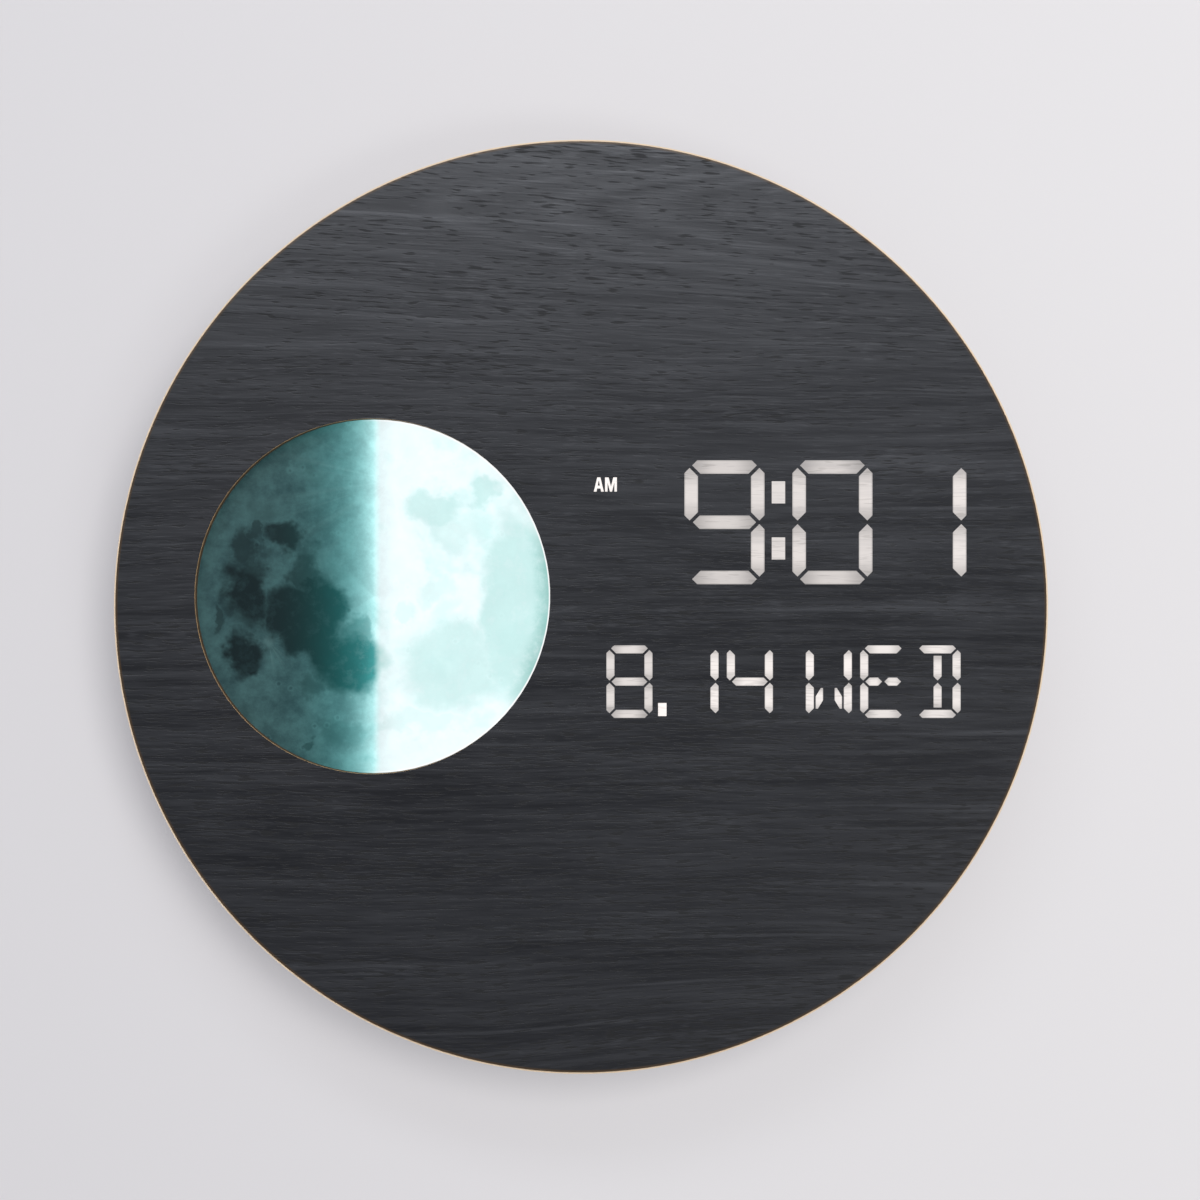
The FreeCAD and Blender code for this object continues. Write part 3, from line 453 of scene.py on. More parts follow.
def character_bars(width, height, stroke, gap):
    """The bars that are lit in one character or another, by name."""
    width, height, stroke = width - 2 * INSET, height - 2 * INSET, stroke - 2 * INSET
    half = height / 2
    inset = TIP * stroke - gap / 2 + math.sqrt(2) * gap
    bars = {"a": top_bar(width, stroke, gap), "f": upper_left_bar(half, stroke, gap),
            "g": middle_bar(inset, width - inset, half, stroke),
            "g1": middle_bar(inset, (width - gap) / 2, half, stroke),
            "i": centre_bar(width, half, stroke, gap), "k": slash_bar(width, half, stroke, gap)}
    for name, twin in (("b", "f"), ("g2", "g1"), ("m", "k")):
        bars[name] = mirror_across(bars[twin], width)
    for name, twin in (("c", "b"), ("d", "a"), ("e", "f"), ("l", "i")):
        bars[name] = mirror_down(bars[twin], height)
    return bars


TIME_BARS = character_bars(TIME_W, TIME_H, TIME_STROKE, TIME_GAP)
DATE_BARS = character_bars(DATE_W, DATE_H, DATE_STROKE, DATE_GAP)
print(len(TIME_BARS), "bars in a character")

# %% [markdown]
# ## What the display shows
#
# The clock shows 9:01 with a small AM, the date 8.14 and the weekday WED. Each lit bar becomes an outline on
# the film. Its corners also carry three values for the shader: how far along the bar and how far across it
# the corner is, from -1 to 1, and how bright the bar is. Blender spreads them evenly over the bar's
# triangles, so the shader can dim the ends, where the light has further to go from the lamp in the middle of
# its well. The third number of a character is its glow: no two sets of lamps are quite equally bright.

# %% Lit outlines
TIME_TOP = 47.2
DATE_TOP = -12.2
TIME_LIT = ((33.05, "a b c d f g", 1.02), (67.7, "a b c d e f", 1.02), (97.85, "b c", 1.10))
DATE_LIT = ((8.0, "a b c d e f g", 1.0), (29.2, "b c", 1.27), (46.65, "b c f g", 1.22),
            (72.0, "f e b c k m", 1.27), (89.45, "a f e g1 g2 d", 1.17), (106.9, "a b c d i l", 1.16))
LEVEL_BARS_DIM = {"a": 0.87, "d": 0.87, "g": 0.87}
COLON_W = 4.3
COLON_H = 7.1
COLON_RISE = 9.0
STOP_LEFT = 24.75
STOP_W = 2.7
STOP_H = 4.2
DOT_LIFT = 0.6
COLON_GLOW = 1.0
WORD_GLOW = 1.45


def box_at(left, top, width, height):
    return [(left, top), (left + width, top), (left + width, top - height), (left, top - height)]


def lit_bar(bar, left, top, glow):
    """A bar in its place, with a note for each corner: along, across and glow."""
    outline = [(left + INSET + u, top - INSET - v) for u, v in bar]
    low_x, high_x = min(x for x, _ in outline), max(x for x, _ in outline)
    low_z, high_z = min(z for _, z in outline), max(z for _, z in outline)
    upright = high_z - low_z > high_x - low_x
    notes = []
    for x, z in outline:
        sideways = 2 * (x - low_x) / (high_x - low_x) - 1
        up = 2 * (z - low_z) / (high_z - low_z) - 1
        notes.append((up, sideways, glow) if upright else (sideways, up, glow))
    return outline, notes


def even_outline(outline, glow):
    """An outline that is equally bright all over, for dots and letters."""
    return outline, [(0.0, 0.0, glow)] * len(outline)


lit = []
for bars, top, characters, dim in ((TIME_BARS, TIME_TOP, TIME_LIT, LEVEL_BARS_DIM),
                                   (DATE_BARS, DATE_TOP, DATE_LIT, {})):
    for left, names, glow in characters:
        lit += [lit_bar(bars[name], left, top, glow * dim.get(name, 1.0)) for name in names.split()]
colon_left = (TIME_LIT[0][0] + TIME_W + TIME_LIT[1][0] - COLON_W) / 2
for rise in (COLON_RISE, -COLON_RISE):
    colon_top = TIME_TOP - TIME_H / 2 + rise + COLON_H / 2 + DOT_LIFT
    lit.append(even_outline(box_at(colon_left, colon_top, COLON_W, COLON_H), COLON_GLOW))
stop_top = DATE_TOP - DATE_H + INSET + STOP_H + DOT_LIFT
lit.append(even_outline(box_at(STOP_LEFT, stop_top, STOP_W, STOP_H), WORD_GLOW))
print(len(lit), "lit areas")

# %% [markdown]
# ## The small words
#
# Above the middle bar of the first digit sits a window with two words, for morning and afternoon. Only AM is
# lit. The letters are bold and narrow, about 5 mm high, so a few corners each draw them as well as a font
# would, and they stay part of the same sheet. The A has a small triangle inside it that stays dark.

# %% Letters
LETTER_LOW = 37.0
LETTER_HIGH = 41.55
A_LEFT = 4.12
A_WIDTH = 3.20
M_LEFT = 7.72
M_WIDTH = 3.80
A_SHAPE = ((0.0, 0.0), (0.27, 0.0), (0.33, 0.22), (0.67, 0.22), (0.73, 0.0), (1.0, 0.0),
           (0.66, 1.0), (0.34, 1.0))
A_INSIDE = ((0.39, 0.42), (0.61, 0.42), (0.5, 0.82))
M_SHAPE = ((0.0, 0.0), (0.21, 0.0), (0.21, 0.66), (0.41, 0.0), (0.59, 0.0), (0.79, 0.66), (0.79, 0.0),
           (1.0, 0.0), (1.0, 1.0), (0.70, 1.0), (0.5, 0.36), (0.30, 1.0), (0.0, 1.0))


def scaled(corners, left, width):
    """Letter corners, drawn in a square from 0 to 1, put in place."""
    return [(left + u * width, LETTER_LOW + v * (LETTER_HIGH - LETTER_LOW)) for u, v in corners]


lit.append(even_outline(scaled(A_SHAPE, A_LEFT, A_WIDTH), WORD_GLOW))
lit.append(even_outline(scaled(M_SHAPE, M_LEFT, M_WIDTH), WORD_GLOW))
letter_hole = even_outline(scaled(A_INSIDE, A_LEFT, A_WIDTH), WORD_GLOW)
print("letters", round(LETTER_HIGH - LETTER_LOW, 2), "mm high")

# %% [markdown]
# ## Wood grain of the film
#
# The face is not wood but a black film printed and embossed like it: level streaks, short pores, and near the
# top a faint set of arches where the board was cut past a knot. One node group makes all three, because the
# lit areas need the same pores as the dark ones. A streak is noise that is stretched along X. The arches are
# parabolas that open to the right, so the tone of a ring depends on one number: where its arch has its tip.
# A row of RINGS is that place, the ring's half width and its tone.

# %% Node group: wood grain
KNOT_Z = 128.4
ARCH_ABOVE = 2.1
ARCH_BELOW = 4.6
RINGS = ((-48.0, 6.5, 0.30), (-10.0, 8.0, 0.28), (5.0, 5.0, -0.22), (21.0, 6.0, 0.22), (36.0, 6.0, -0.18))


def make_wood_grain():
    group, tree, start, end = new_group("wood_grain", {}, "Tone Height Pores")
    x, _, z = tree.parts(start["Place"])
    slow = tree.noise(tree.stretched(start["Place"], (0.007, 0.1, 0.02)), 1.0)
    drift = (slow - 0.5) * 7.0
    # The grain is level, but runs a little downhill near the top and uphill at the lower right
    fall = x * 0.05 * tree.step(z, 50.0, 105.0)
    rise = tree.math("MAXIMUM", x + 30.0, 0.0) * -0.08 * tree.step(z, -95.0, -135.0)
    flow = tree.together(x, 0.0, z + drift + (fall + rise))
    ground = tree.noise(tree.stretched(flow, (0.014, 1.0, 0.26)), 1.0, 3.0, 0.85)
    band = tree.noise(tree.stretched(flow, (0.006, 1.0, 0.075), (5.0, 0.0, 2.0)), 1.0)
    line = tree.noise(tree.stretched(flow, (0.0045, 1.0, 0.34), (0.0, 0.0, 9.0)), 1.0, 1.0, 0.6)
    # Rings that were cut past a knot are nested arches. All points of one arch have the same value of arch
    away = z - KNOT_Z
    curve = tree.step(away, -3.0, 3.0, -1 / ARCH_BELOW, -1 / ARCH_ABOVE)
    arch = tree.math("MULTIPLY_ADD", away * away, curve, x) + drift * 2.0
    rings = None
    for middle, half, tone in RINGS:
        part = (arch - middle) / half
        ring = tree.math("EXPONENT", part * part * -1.0) * tone
        rings = rings + ring if rings else ring
    rings = rings * tree.step(arch, -48.0, -20.0, 1.0, 0.8)
    # Dashes 2 to 10 mm long lie in crowds: dark ones are pores, mostly low down, and pale ones are scratches
    crowd = tree.noise(tree.stretched(flow, (0.012, 1.0, 0.10), (3.0, 0.0, 1.0)), 1.0)
    dash = tree.noise(tree.stretched(flow, (0.135, 1.0, 1.40)), 1.0, 1.0)
    limit = tree.math("MULTIPLY_ADD", crowd, -0.30, 0.230)
    dark = tree.step(z, -55.0, 20.0, 0.535, 0.49) - dash
    pores = tree.step(dark - limit, 0.0, 0.08)
    pale = tree.step(dark * -1.0 - limit, 0.03, 0.14)
    # The streaks are strongest at half height, and faint inside the arches
    streaks = tree.step(ground, 0.33, 0.74) + tree.step(band, 0.30, 0.70, -0.18, 0.18)
    strength = tree.step(tree.math("ABSOLUTE", z - 5.0), 90.0, 40.0, 0.43, 0.56)
    strength = strength * tree.step(arch, -52.0, -30.0, 1.0, 0.6)
    lines = tree.step(line, 0.61, 0.72)
    tone = tree.math("MULTIPLY_ADD", streaks - 0.5, strength, 0.28)
    tone = tone + tree.math("MULTIPLY_ADD", lines, 0.34, rings)
    tone = tree.math("ADD", tone, pale * 0.34, clamp=True)
    tree.fill(end, {"Tone": tone, "Height": streaks * 0.5 - pores * 0.5, "Pores": pores})
    return group


WOOD_GRAIN = make_wood_grain()
print("wood grain has", len(WOOD_GRAIN.nodes), "nodes")

# %% [markdown]
# ## Film, dark and lit
#
# Both film materials use the grain group. The dark one is a charcoal print with a satin sheen. The lit one
# adds light that comes through from behind: its Emission Color is a warm white, dimmed towards the ends and
# edges of each bar by the values on the mesh, and by the pores, which the embossing makes thicker.

# %% Film materials
FILM_DARK = (0.0010, 0.0015, 0.0040)
FILM_PALE = (0.0440, 0.0465, 0.0540)
FILM_PORE = (0.0006, 0.0007, 0.0014)
FILM_BURNT = (0.058, 0.031, 0.009)
LIT_TINT = (0.640, 0.596, 0.572)
FILM_SHEEN = 0.31
FILM_R = 149.45
FILM_FRONT = -28.0
FILM_REAR = -27.6


def make_film(name, is_lit):
    material, tree, surface = new_material(name)
    place = tree.millimetres()
    grain = tree.use(WOOD_GRAIN, Place=place)
    tone, pores = grain["Tone"], grain["Pores"]
    colour = tree.mix(tone, FILM_DARK, FILM_PALE)
    colour = tree.mix(pores * 0.8, colour, FILM_PORE)
    # The hot blade that trimmed the film browned its edge
    x, _, z = tree.parts(place)
    from_middle = tree.vector("LENGTH", tree.together(x, 0.0, z))
    colour = tree.mix(tree.step(from_middle, FILM_R - 0.95, FILM_R - 0.1, 0.0, 0.9), colour, FILM_BURNT)
    rough = tree.step(tone, 0.0, 1.0, FILM_SHEEN + 0.03, FILM_SHEEN - 0.03) + pores * 0.2
    tree.fill(surface, {"Base Color": colour, "Roughness": rough, "Specular IOR Level": 0.32,
                        "Normal": tree.bump(grain["Height"], 0.6, 0.07)})
    if is_lit:
        along, across, glow = tree.parts(tree.values("Attribute", attribute_name="segment_place")["Vector"])
        ends = tree.step(tree.math("ABSOLUTE", along), 0.20, 1.05, 1.07, 0.66)
        sides = tree.step(tree.math("ABSOLUTE", across), 0.72, 1.06, 1.0, 0.70)
        cover = pores * 0.15 + tree.step(tone, 0.1, 0.7, 0.0, 0.17)
        level = ends * sides * glow * (1.09 - cover)
        light = tree.values("VectorMath", {0: LIT_TINT, "Scale": level}, operation="SCALE")
        tree.fill(surface, {"Emission Color": light["Vector"], "Emission Strength": 1.0})
    return material


FILM = make_film("wood_grain_film", False)
LIT_FILM = make_film("lit_wood_grain_film", True)
print("film sheen", FILM_SHEEN)

# %% [markdown]
# ## The film on the face
#
# The film is a disc just under 300 mm across, cut half a millimetre short of the board's edge, with the
# moon's round hole. It lies where its plain solid lies, from 28 to 27.6 mm in front of the wall.

# %% Film
MOON_X = -67.005
MOON_Z = 3.4
HOLE_R = 57.1
RIM_POINTS = 256
HOLE_POINTS = 160
OPEN = 1

outlines = [circle_outline(0, 0, FILM_R, RIM_POINTS), circle_outline(MOON_X, MOON_Z, HOLE_R, HOLE_POINTS)]
notes = [(0.0, 0.0, 0.0)] * (RIM_POINTS + HOLE_POINTS)
for outline, marks in lit + [letter_hole]:
    outlines.append(outline)
    notes += marks
LETTER_HOLE = len(outlines) - 1


def film_finish(owners):
    if 0 not in owners or OPEN in owners:
        return None
    return 1 if len(owners) > 1 and LETTER_HOLE not in owners else 0


film = sheet_object("film_sheet", outlines, film_finish, FILM_FRONT, FILM_REAR, [FILM, LIT_FILM], notes)
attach(film, CLOCK)
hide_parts("front_film")
print("film has", len(film.data.polygons), "faces")

# %% [markdown]
# ## The printed moon
#
# The moon is a print of the real one, on white acrylic that is lit from behind over its right half. A moon
# made of noise alone never looks right, because everybody knows the dark seas. So each sea is put in as a
# soft oval, at its place on the round print, and noise breaks up its edge. The print shows the moon turned
# upside down, as it is seen from the southern half of the earth. A row is the sea's place across and up, its
# half width and half height, all for a print of radius 1, and how dark it is. The palest highlands are placed
# in the same way, without a name. A crater with rays has its place, how far its rays reach, and their
# strength.

# %% Where the seas are
PRINT_R = 56.6
SEAS = {"fecunditatis": (-0.72, 0.03, 0.11, 0.17, 1.0), "fecunditatis_end": (-0.735, 0.31, 0.06, 0.085, 0.75),
        "nectaris": (-0.505, 0.33, 0.085, 0.075, 0.95), "asperitatis": (-0.385, 0.13, 0.075, 0.12, 0.8),
        "tranquillitatis": (-0.49, -0.09, 0.13, 0.12, 1.0),
        "tranquillitatis_end": (-0.31, -0.04, 0.13, 0.16, 1.0),
        "tranquillitatis_low": (-0.42, -0.235, 0.11, 0.10, 1.0), "lacus": (-0.29, -0.28, 0.12, 0.12, 1.0),
        "serenitatis": (-0.145, -0.365, 0.175, 0.165, 1.0), "crisium": (-0.743, -0.318, 0.080, 0.098, 1.0),
        "spumans": (-0.62, -0.07, 0.06, 0.06, 0.6), "marginis": (-0.886, -0.117, 0.025, 0.08, 0.6),
        "pyrenees": (-0.645, 0.36, 0.035, 0.05, 0.7), "somniorum": (-0.35, -0.55, 0.08, 0.06, 0.5),
        "frigoris_east": (-0.13, -0.78, 0.13, 0.07, 0.35), "endymion": (-0.38, -0.82, 0.035, 0.02, 0.6),
        "humorum": (0.63, 0.575, 0.085, 0.075, 0.75), "nubium": (0.33, 0.52, 0.13, 0.10, 0.75),
        "cognitum": (0.47, 0.38, 0.15, 0.10, 0.5), "procellarum": (0.80, -0.05, 0.16, 0.42, 0.85),
        "imbrium": (0.45, -0.40, 0.26, 0.21, 0.72), "medii": (0.36, 0.02, 0.09, 0.07, 0.4),
        "vaporum": (-0.08, -0.17, 0.06, 0.06, 0.6), "aestuum": (0.20, -0.10, 0.05, 0.04, 0.35),
        "frigoris": (0.25, -0.72, 0.22, 0.05, 0.35)}
PALEST = ((0.52, -0.05, 0.13, 0.17, 0.2), (0.28, 0.86, 0.42, 0.20, 0.2), (0.42, -0.84, 0.50, 0.18, 0.2),
          (0.08, 0.05, 0.16, 0.62, 0.2))
CRATERS = {"tycho": ((0.10, 0.66, 0.0), 0.95, 0.8), "copernicus": ((0.46, -0.08, 0.0), 0.30, 0.8),
           "proclus": ((-0.60, -0.26, 0.0), 0.22, 0.6)}
print(len(SEAS), "seas")

# %% [markdown]
# The group puts the place on the lens on a scale where the print's radius is 1, bends it by noise, and takes
# the largest of the sea masks. The highlands are mottled by noise in two sizes. Craters are a Voronoi
# texture, and pale rays run out from three bright craters.

# %% Node group: moon print
def make_moon_print():
    group, tree, start, end = new_group("moon_print", {}, "Sea Relief Rays Radius Across Limb Cloud")
    x, _, z = tree.parts(start["Place"])
    across = x - MOON_X
    up = z - MOON_Z
    radius = tree.vector("LENGTH", tree.together(across, up, 0.0))
    flat = tree.together(across / PRINT_R, up / PRINT_R, 0.0)
    shift = tree.vector("SUBTRACT", tree.noise(flat, 4.2, 4.0, 0.58, "Color"), (0.5, 0.5, 0.5))
    bent = tree.vector("MULTIPLY_ADD", shift, (0.36, 0.36, 0.0), flat)

    def largest_oval(rows):
        largest = None
        for middle, height, half_width, half_height, depth in rows:
            away = tree.vector("MULTIPLY_ADD", bent, (1 / half_width, 1 / half_height, 0.0),
                               (-middle / half_width, -height / half_height, 0.0))
            mask = tree.step(tree.vector("LENGTH", away), 1.58, 0.80, 0.0, depth)
            largest = tree.math("MAXIMUM", largest, mask) if largest else mask
        return largest

    sea = largest_oval(SEAS.values())
    coarse = tree.noise(flat, 3.6, 5.0, 0.55)
    fine = tree.noise(flat, 9.0, 6.0, 0.72)
    cloud = tree.noise(flat, 4.4, 4.0) + largest_oval(PALEST)
    sea = tree.math("MAXIMUM", sea * tree.step(fine, 0.34, 0.52, 0.75, 1.0),
                    tree.step(coarse, 0.54, 0.70, 0.0, 0.40))
    relief = fine * 0.5 + coarse * 0.5
    # A crater is a round cell. One cell in five is a dark floor with a pale rim, and one in seven a pale spot
    cell = tree.values("TexVoronoi", {"Vector": flat, "Scale": 15.0, "Randomness": 1.0})
    out = cell["Distance"]
    choice, _, _ = tree.parts(cell["Color"])
    rim = tree.step(out, 0.12, 0.20) - tree.step(out, 0.22, 0.36) - tree.step(out, 0.18, 0.08)
    relief = relief + rim * tree.step(choice, 0.78, 0.84) * 0.05
    rays = tree.step(out, 0.17, 0.05) * tree.step(choice, 0.16, 0.12, 0.0, 0.9)
    for place, reach, strength in CRATERS.values():
        away = tree.vector("SUBTRACT", flat, place)
        distance = tree.vector("LENGTH", away)
        spokes = tree.step(tree.noise(tree.vector("NORMALIZE", away), 4.5, 3.0, 0.7), 0.46, 0.66)
        fan = spokes * tree.step(distance, reach, 0.05, 0.0, 0.8)
        spot = tree.step(distance, 0.05, 0.01)
        rays = tree.math("MAXIMUM", rays, tree.math("MAXIMUM", fan, spot) * strength)
    # The far right edge of the print is darker
    aside = tree.vector("DOT_PRODUCT", tree.vector("NORMALIZE", flat), (0.99, -0.12, 0.0))
    edge = radius + (fine - 0.5) * 9.0
    limb = tree.step(aside, 0.82, 0.97) * tree.step(edge, PRINT_R * 0.90, PRINT_R * 1.02)
    tree.fill(end, {"Sea": sea, "Relief": relief, "Rays": rays, "Radius": radius, "Across": across,
                    "Limb": limb, "Cloud": cloud})
    return group


MOON_PRINT = make_moon_print()
print("moon print has", len(MOON_PRINT.nodes), "nodes")

# %% [markdown]
# ## Acrylic moon
#
# On the dark half the print shows in deep teal, and its seas are painted greener towards the terminator, as
# a painted glow of the light beyond it. On the right half light comes through: the paler the print, the more.
# Between the two, light leaks past the wall of the light box and makes a narrow bright edge and a wider
# blue-green glow. The print ends just inside the hole and leaves a thin bright line there.

# %% Moon material
TERMINATOR = 0.9
HIGH_DARK = (0.017, 0.045, 0.051)
HIGH_PALE = (0.052, 0.122, 0.126)
SEA_DARK = (0.0025, 0.0105, 0.0125)
# The second sea colour is a painted glow, for the seas near the terminator
SEA_PAINTED_GLOW = (0.002, 0.030, 0.030)
RAY_PALE = (0.11, 0.20, 0.20)
LEAK_RED = 0.60
LEAK_GREEN = 0.97
RED_REACH = 4.6
GREEN_REACH = 6.6
SEA_LEAK = (0.12, 0.38, 0.38)
HIGH_LIT = (0.890, 0.985, 1.0)
MOTTLED_LIT = (0.77, 0.94, 0.945)
SEA_LIT = (0.57, 0.82, 0.80)
LIMB_LIT = (0.30, 0.56, 0.52)


def make_moon():
    material, tree, surface = new_material("moon_print_acrylic")
    sea, relief, rays, radius, across, limb, cloud = tree.use(MOON_PRINT, Place=tree.millimetres()).values()
    past = across - TERMINATOR
    # The print itself, seen by the light of the room, with a painted glow on its seas near the terminator
    mottle = tree.step(relief, 0.34, 0.66)
    high = tree.mix(mottle, HIGH_DARK, HIGH_PALE)
    high = tree.mix(rays * 0.45, high, RAY_PALE)
    # The seas turn from dark to a brighter green towards the terminator: a painted glow of the light beyond it
    low = tree.mix(tree.step(across, -34.0, -6.0), SEA_DARK, SEA_PAINTED_GLOW)
    # Light that leaks past the wall at the terminator fades faster in red, and the print dims it
    before = tree.math("MINIMUM", past, 0.0)
    red = tree.math("EXPONENT", before / RED_REACH) * LEAK_RED
    green = tree.math("EXPONENT", before / GREEN_REACH) * LEAK_GREEN
    leak = tree.mix(1.0, tree.together(red, green, green),
                    tree.mix(mottle, grey(0.80), grey(1.12)), "MULTIPLY")
    leak = tree.mix(sea, leak, tree.mix(1.0, leak, SEA_LEAK, "MULTIPLY"))
    # The lit half
    bright = tree.mix(tree.step(cloud, 0.40, 0.60), MOTTLED_LIT, HIGH_LIT)
    bright = tree.mix(rays * 0.6, bright, HIGH_LIT)
    through = tree.mix(sea, bright, SEA_LIT)
    through = tree.mix(limb, through, LIMB_LIT)
    through = tree.mix(1.0, through, tree.mix(mottle, grey(0.945), grey(1.015)), "MULTIPLY")
    through = tree.mix(1.0, through, tree.mix(tree.step(past, 0.0, 7.0), grey(0.84), grey(1.0)), "MULTIPLY")
    light = tree.mix(tree.step(past, -1.3, 1.7), leak, through)
    # The bare margin outside the print
    margin = tree.step(radius, PRINT_R - 0.15, PRINT_R + 0.10) * tree.step(past, -6.0, 10.0)
    tree.fill(surface, {
        "Base Color": tree.mix(sea, high, low), "Roughness": 0.5, "Specular IOR Level": 0.12,
        "Emission Color": tree.mix(margin, light, grey(1.0)), "Emission Strength": 1.0,
        "Normal": tree.bump(relief, 0.08, 0.02)})
    return material


dress(make_moon(), "moon_lens")

# %% [markdown]
# ## Shared effects
#
# Most hidden and rear parts are moulded plastic, metal or circuit board. Four more groups serve them: the
# fine texture that a mould leaves, the brushed lines of rolled or drawn metal, dust that settles on upper
# faces, and the copper pattern of a circuit board under its green lacquer.

# %% Node groups: mould texture, brushed metal, dust
def make_mould_texture():
    group, tree, start, end = new_group("mould_texture", {"Grain per mm": 3.0},
                                        "Tone Height Roughness")
    grit = tree.noise(start["Place"], start["Grain per mm"], 3.0, 0.6)
    cloud = tree.noise(start["Place"], 0.035, 3.0)
    flow = tree.noise(tree.stretched(start["Place"], (0.02, 0.02, 0.11)), 1.0)
    tree.fill(end, {"Tone": grit * 0.4 + cloud * 0.6, "Height": grit,
                    "Roughness": flow * 0.06 + grit * 0.14 - 0.10})
    return group


def make_brushed_metal():
    group, tree, start, end = new_group("brushed_metal", {"Direction": (0.05, 1.0, 4.0)},
                                        "Tone Height Roughness")
    lines = tree.noise(tree.vector("MULTIPLY", start["Place"], start["Direction"]), 2.5, 3.0, 0.65)
    cloud = tree.noise(start["Place"], 0.12, 3.0, 0.55)
    crystal = tree.values("TexVoronoi", {"Vector": start["Place"], "Scale": 0.9})["Color"]
    spangle = tree.vector("DOT_PRODUCT", crystal, (0.33, 0.33, 0.33))
    tree.fill(end, {"Tone": spangle * 0.4 + cloud * 0.6, "Height": lines, "Roughness": (lines - 0.5) * 0.3})
    return group


def make_dust():
    group, tree, start, end = new_group("dust", {"Amount": 0.3}, "Dust")
    _, _, upward = tree.parts(tree.values("NewGeometry")["Normal"])
    patches = tree.noise(start["Place"], 0.11, 4.0, 0.6)
    specks = tree.noise(start["Place"], 2.2, 2.0, 0.6)
    settled = tree.step(upward, 0.2, 0.95) * tree.step(patches, 0.3, 0.7)
    settled = settled * tree.step(specks, 0.35, 0.6, 0.4, 1.0)
    tree.fill(end, {"Dust": settled * start["Amount"]})
    return group


MOULD = make_mould_texture()
BRUSHED = make_brushed_metal()
DUST = make_dust()
print("groups:", ", ".join(group.name for group in bpy.data.node_groups))

# %% [markdown]
# The board's pattern is made from bricks: the joints between large bricks read as copper tracks, and a
# regular dot grid as plated holes. It only has to read as a circuit board when the clock is opened.

# %% Node group: circuit pattern
def make_circuit():
    group, tree, start, end = new_group("circuit_pattern", {"Pitch": 5.0}, "Tracks Holes")
    x, _, z = tree.parts(start["Place"])
    flat = tree.together(x / start["Pitch"], z / start["Pitch"], 0.0)
    wander = tree.values("TexVoronoi", {"Vector": flat, "Scale": 0.5}, voronoi_dimensions="2D",
                         distance="CHEBYCHEV", feature="F1")
    step = tree.vector("MULTIPLY", wander["Color"], (3.0, 2.0, 0.0))
    bricks = tree.values("TexBrick", {
        "Vector": tree.vector("ADD", flat, step), "Scale": 1.0, "Mortar Size": 0.05,
        "Mortar Smooth": 0.1, "Brick Width": 1.6, "Row Height": 0.4})
    away = tree.vector("DISTANCE", tree.vector("FRACTION", flat), (0.5, 0.5, 0.0))
    tree.fill(end, {"Tracks": bricks["Fac"], "Holes": tree.step(away, 0.11, 0.09)})
    return group


CIRCUIT = make_circuit()
print("circuit pattern ready")

# %% [markdown]
# ## Fibreboard
#
# The board is medium-density fibreboard: a felt of short pale-brown fibres. Its outer edge was cut with heat,
# so it is scorched brown, darker in some places than in others, and a thin tan line shows round the film. The
# wall of the moon's hole is milled board, and more than a millimetre behind the film it is painted dark brown,
# as painted shade in the gap where it meets the lens. One material does it all: masks from the distance to the
# two centres choose between the finishes.

# %% Fibreboard material
RAW_TAN = (0.330, 0.215, 0.128)
RAW_PALE = (0.43, 0.30, 0.19)
FLECK = (0.10, 0.06, 0.035)
MILLED = (0.64, 0.41, 0.22)
# The scorched brown of the cut edge, also used as painted shade deep in the moon's hole
SCORCH_AND_SHADE = (0.020, 0.013, 0.009)
EDGE_TAN = (0.80, 0.64, 0.47)


def make_fibreboard():
    material, tree, surface = new_material("fibreboard")
    place = tree.millimetres()
    x, y, z = tree.parts(place)
    fibres = tree.noise(tree.stretched(place, (1.3, 3.0, 1.0)), 1.0, 4.0, 0.7)
    flecks = tree.noise(tree.stretched(place, (3.0, 1.0, 4.0)), 1.0, 2.0, 0.6)
    cloud = tree.noise(place, 0.05, 3.0)
    raw = tree.mix(tree.step(fibres + cloud * 0.5, 0.5, 1.0), RAW_TAN, RAW_PALE)
    raw = tree.mix(tree.step(flecks, 0.64, 0.72, 0.0, 0.5), raw, FLECK)
    flat = tree.together(x, z, 0.0)
    from_middle = tree.vector("LENGTH", flat)
    from_moon = tree.vector("DISTANCE", flat, (MOON_X, MOON_Z, 0.0))
    layers = tree.noise(tree.stretched(place, (0.12, 3.0, 0.12)), 1.0, 3.0, 0.6)
    milled = tree.mix(tree.step(layers, 0.35, 0.65), tree.mix(0.3, MILLED, SCORCH_AND_SHADE), MILLED)
    # Deeper than a millimetre behind the film the hole's wall turns dark: painted shade in the recess
    milled = tree.mix(tree.step(y, FILM_REAR + 1.0, FILM_REAR + 1.8, 0.0, 0.85), milled, SCORCH_AND_SHADE)
    colour = tree.mix(tree.step(from_moon, HOLE_R + 0.25, HOLE_R + 0.05), raw, milled)
    # The outer edge is scorched, darker where the cut went slowly, but tan in front
    scorch = tree.step(cloud + layers * 0.6, 0.55, 1.05, 0.86, 0.46)
    behind = tree.step(y, FILM_REAR + 0.05, FILM_REAR + 0.9)
    edge = tree.mix(behind * scorch, EDGE_TAN, SCORCH_AND_SHADE)
    colour = tree.mix(tree.step(from_middle, FILM_R - 0.10, FILM_R), colour, edge)
    tree.fill(surface, {"Base Color": colour, "Roughness": 0.86, "Specular IOR Level": 0.25,
                        "Normal": tree.bump(fibres + flecks, 0.35, 0.06)})
    return material


dress(make_fibreboard(), "front_board")

# %% [markdown]
# ## Moulded plastics
#
# The housing and the keys are black, the light parts behind the face are white, and the plugs are cream. All
# come from a mould, so one function writes their materials with different colours, sheen and grain. Fine
# noise makes the surface of the mould, and dust lies on what faces up. A row is the material's name, its
# colour, its roughness, the grain's fineness and depth, the amount of dust, and the parts that get it.

